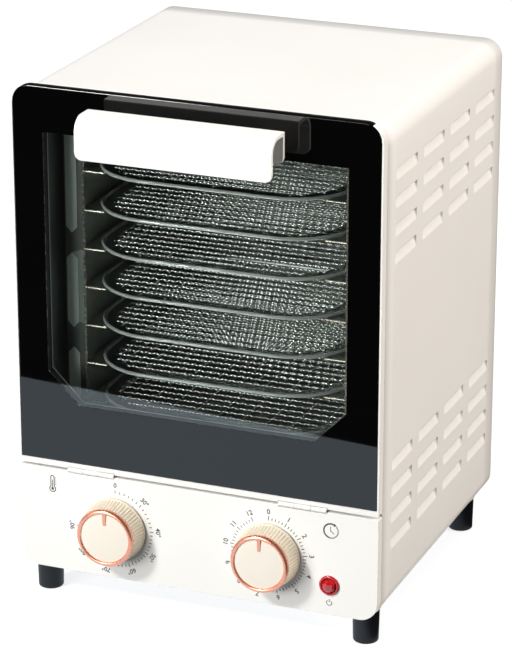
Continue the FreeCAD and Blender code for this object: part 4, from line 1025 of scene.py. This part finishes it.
def lamp_jewel(centre, radius, face, front):
    """A faceted jewel: rings of points, each turned half a facet from the last."""
    cx, cz = centre
    girdle = radius - BEZEL_WIDTH - 0.05
    bm = bmesh.new()

    def ring(r, y, turned):
        turns = [2 * math.pi * (k + turned) / FACETS for k in range(FACETS)]
        return [bm.verts.new(Vector((cx + r * math.cos(turn), y, cz + r * math.sin(turn))) * MM)
                for turn in turns]

    rows = [ring(r, max(face - out, front), turned) for r, out, turned in
            ((girdle, 1.0, 0.0), (radius - 2.6, 2.1, 0.5), (3.0, 2.75, 0.0), (1.4, 3.1, 0.5))]
    base = ring(girdle, face + 4, 0.0)
    for k in range(FACETS):
        n = (k + 1) % FACETS
        bm.faces.new((base[k], base[n], rows[0][n], rows[0][k]))
    bm.faces.new(list(reversed(base)))
    for level, (lower, upper) in enumerate(zip(rows, rows[1:])):
        for k in range(FACETS):
            n = (k + 1) % FACETS
            if level % 2:
                bm.faces.new((lower[k], upper[n], upper[k]))
                bm.faces.new((lower[k], lower[n], upper[n]))
            else:
                bm.faces.new((lower[k], lower[n], upper[k]))
                bm.faces.new((lower[n], upper[n], upper[k]))
    bm.faces.new(rows[-1])
    bmesh.ops.recalc_face_normals(bm, faces=bm.faces)
    obj = link("lamp_jewel", mesh_from("lamp_jewel", bm, 0, 5.0))
    settle(obj, "cabinet", "lamp_red", stands_for=("lamp_lens",))


def lamp():
    low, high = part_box("lamp_lens")
    centre = (low.x + high.x) / 2 / MM, (low.z + high.z) / 2 / MM
    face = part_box("control_panel")[0].y / MM
    radius = (high.x - low.x) / 2 / MM
    lamp_bezel(centre, radius, face)
    lamp_jewel(centre, radius, face, low.y / MM)


# --------------------------------------------------------------------------
# Stage
# --------------------------------------------------------------------------
FLOOR_HALF, FLOOR_DROP = 8, 0.0002
# The card is seen only as the pale table that the black glass mirrors.
CARD = [(-1.5, -0.569), (0.12, -0.400), (0.12, 0.1), (-1.5, 0.1)]
# name: place, aim, (width, height), watts, colour, whether glossy surfaces mirror it
AREA_LIGHTS = {
    "key": ((-0.95, -1.6, 1.5), (0, -0.05, 0.15), (0.32, 0.32), 33, (1.0, 0.985, 0.96), True),
    "top": ((0.1, 0.3, 1.9), (0, 0.05, 0.1), (2.2, 2.2), 23, (1.0, 1.0, 1.0), False),
    "front_low": ((-0.85, -2.1, 0.62), (0, 0, 0.2), (1.2, 0.9), 38, (1.0, 0.99, 0.97), True),
    "right_fill": ((2.1, 0.1, 0.95), (0, 0.05, 0.2), (1.2, 1.2), 50, (1.0, 0.925, 0.85), False),
    "left_fill": ((-2.1, 0.3, 0.9), (0, 0.05, 0.17), (1.4, 1.4), 12, (1.0, 1.0, 1.0), True),
    "back_fill": ((-0.3, 2.4, 1.1), (0, 0.05, 0.15), (1.6, 1.6), 12, (1.0, 1.0, 1.0), False),
}
WORLD_STRENGTH = 0.03
# The photograph's viewpoint, fitted to the object's corners.
CAMERA_PLACE, AZIMUTH, ELEVATION, LENS = (0.6931, -1.7140, 0.8442), 22.01, 20.24, 168.1


def stage_material(name, colour, rough, glow, glow_colour=(1, 1, 1, 1)):
    made, tree, shader = node_material(name)
    shader.inputs["Base Color"].default_value = (*colour, 1)
    shader.inputs["Roughness"].default_value = rough
    shader.inputs["Specular IOR Level"].default_value = 0.1
    shader.inputs["Emission Color"].default_value = glow_colour
    shader.inputs["Emission Strength"].default_value = glow
    return made


def flat(name, corners, z, material):
    """A level sheet of the stage, from its corners in (x, y)."""
    mesh = bpy.data.meshes.new(name)
    mesh.from_pydata([(x, y, z) for x, y in corners], [], [tuple(range(len(corners)))])
    mesh.materials.append(material)
    obj = link(name, mesh)
    return obj


def turned_to(obj, direction):
    obj.rotation_mode = "QUATERNION"
    obj.rotation_quaternion = direction.to_track_quat("-Z", "Y")


def area(name, place, aim, size, watts, colour, mirrored):
    light = bpy.data.lights.new(name, "AREA")
    light.energy = watts
    light.color = colour
    light.shape = "RECTANGLE"
    light.size, light.size_y = size
    obj = link(name, light)
    obj.location = place
    turned_to(obj, Vector(aim) - Vector(place))
    obj.visible_glossy = mirrored


def stage():
    """A pale floor, a card for the glass to mirror, soft lights and a dim world."""
    pale = stage_material("floor_pale", (0.34, 0.34, 0.34), 0.6, 0.76)
    pale.cycles.emission_sampling = "NONE"
    half = FLOOR_HALF
    floor = flat("floor", [(-half, -half), (half, -half), (half, half), (-half, half)],
                 -FLOOR_DROP, pale)
    floor.visible_glossy = False
    floor.visible_diffuse = False
    glowing = stage_material("card_pale", (0.0, 0.0, 0.0), 1.0, 1.2, (0.86, 1.0, 1.12, 1))
    card = flat("table_reflected", CARD, FLOOR_DROP, glowing)
    card.visible_camera = False
    card.visible_diffuse = False
    card.visible_shadow = False
    card.visible_transmission = False
    for name, values in AREA_LIGHTS.items():
        area(name, *values)
    world = bpy.data.worlds.new("studio")
    bpy.context.scene.world = world
    world.use_nodes = True
    background = world.node_tree.nodes["Background"]
    background.inputs["Color"].default_value = (1, 1, 1, 1)
    background.inputs["Strength"].default_value = WORLD_STRENGTH


def camera():
    data = bpy.data.cameras.new("camera")
    data.sensor_width = 36.0
    data.lens = LENS
    data.clip_start, data.clip_end = 0.05, 60.0
    obj = link("camera", data)
    obj.location = CAMERA_PLACE
    azimuth, elevation = math.radians(AZIMUTH), math.radians(ELEVATION)
    turned_to(obj, Vector((-math.sin(azimuth) * math.cos(elevation),
                           math.cos(azimuth) * math.cos(elevation), -math.sin(elevation))))
    bpy.context.scene.camera = obj


# --------------------------------------------------------------------------
# Build
# --------------------------------------------------------------------------
# The rounding of each node that keeps its CAD shape but gets softer edges, in mm.
EDGE_WIDTHS = {
    "control_panel": 0.7, "door_frame": 0.5, "handle": 0.7, "feet": 0.25, "handle_posts": 0.4,
    "door_hinge_leaves": 0.12, "base_hinge_leaves": 0.12, "rack_left": 0.2, "rack_right": 0.2,
    "cord_gland": 0.3, "foot_washers": 0.1, "door_seal": 0.3, "fan_wheel": 0.15,
}

for node_name, node_object in NODES.items():
    node_object.data.materials.clear()
    node_object.data.materials.append(MATERIALS[SLOT_OF[node_name]])
# The chamber's liner and fan cover take the darker steel: painted shade for the shaded inside.
for node_name in ("cavity_liner", "fan_cover"):
    NODES[node_name].data.materials[0] = MATERIALS["chamber_steel_painted_shade"]

wrapper_sheet()
for node_name, width in EDGE_WIDTHS.items():
    refined(node_name, width)
for rack in ("rack_left", "rack_right"):
    pressed_panels(rack)
knob("temp", "temp_dial")
knob("timer", "timer_dial")
temperature_scale()
timer_scale()
clock_mark()
thermometer_mark()
power_mark()
door_pane()
trays()
lamp()
stage()
camera()
view = bpy.context.scene.view_settings
view.view_transform = "Standard"
view.look = "None"
view.exposure = 0.0
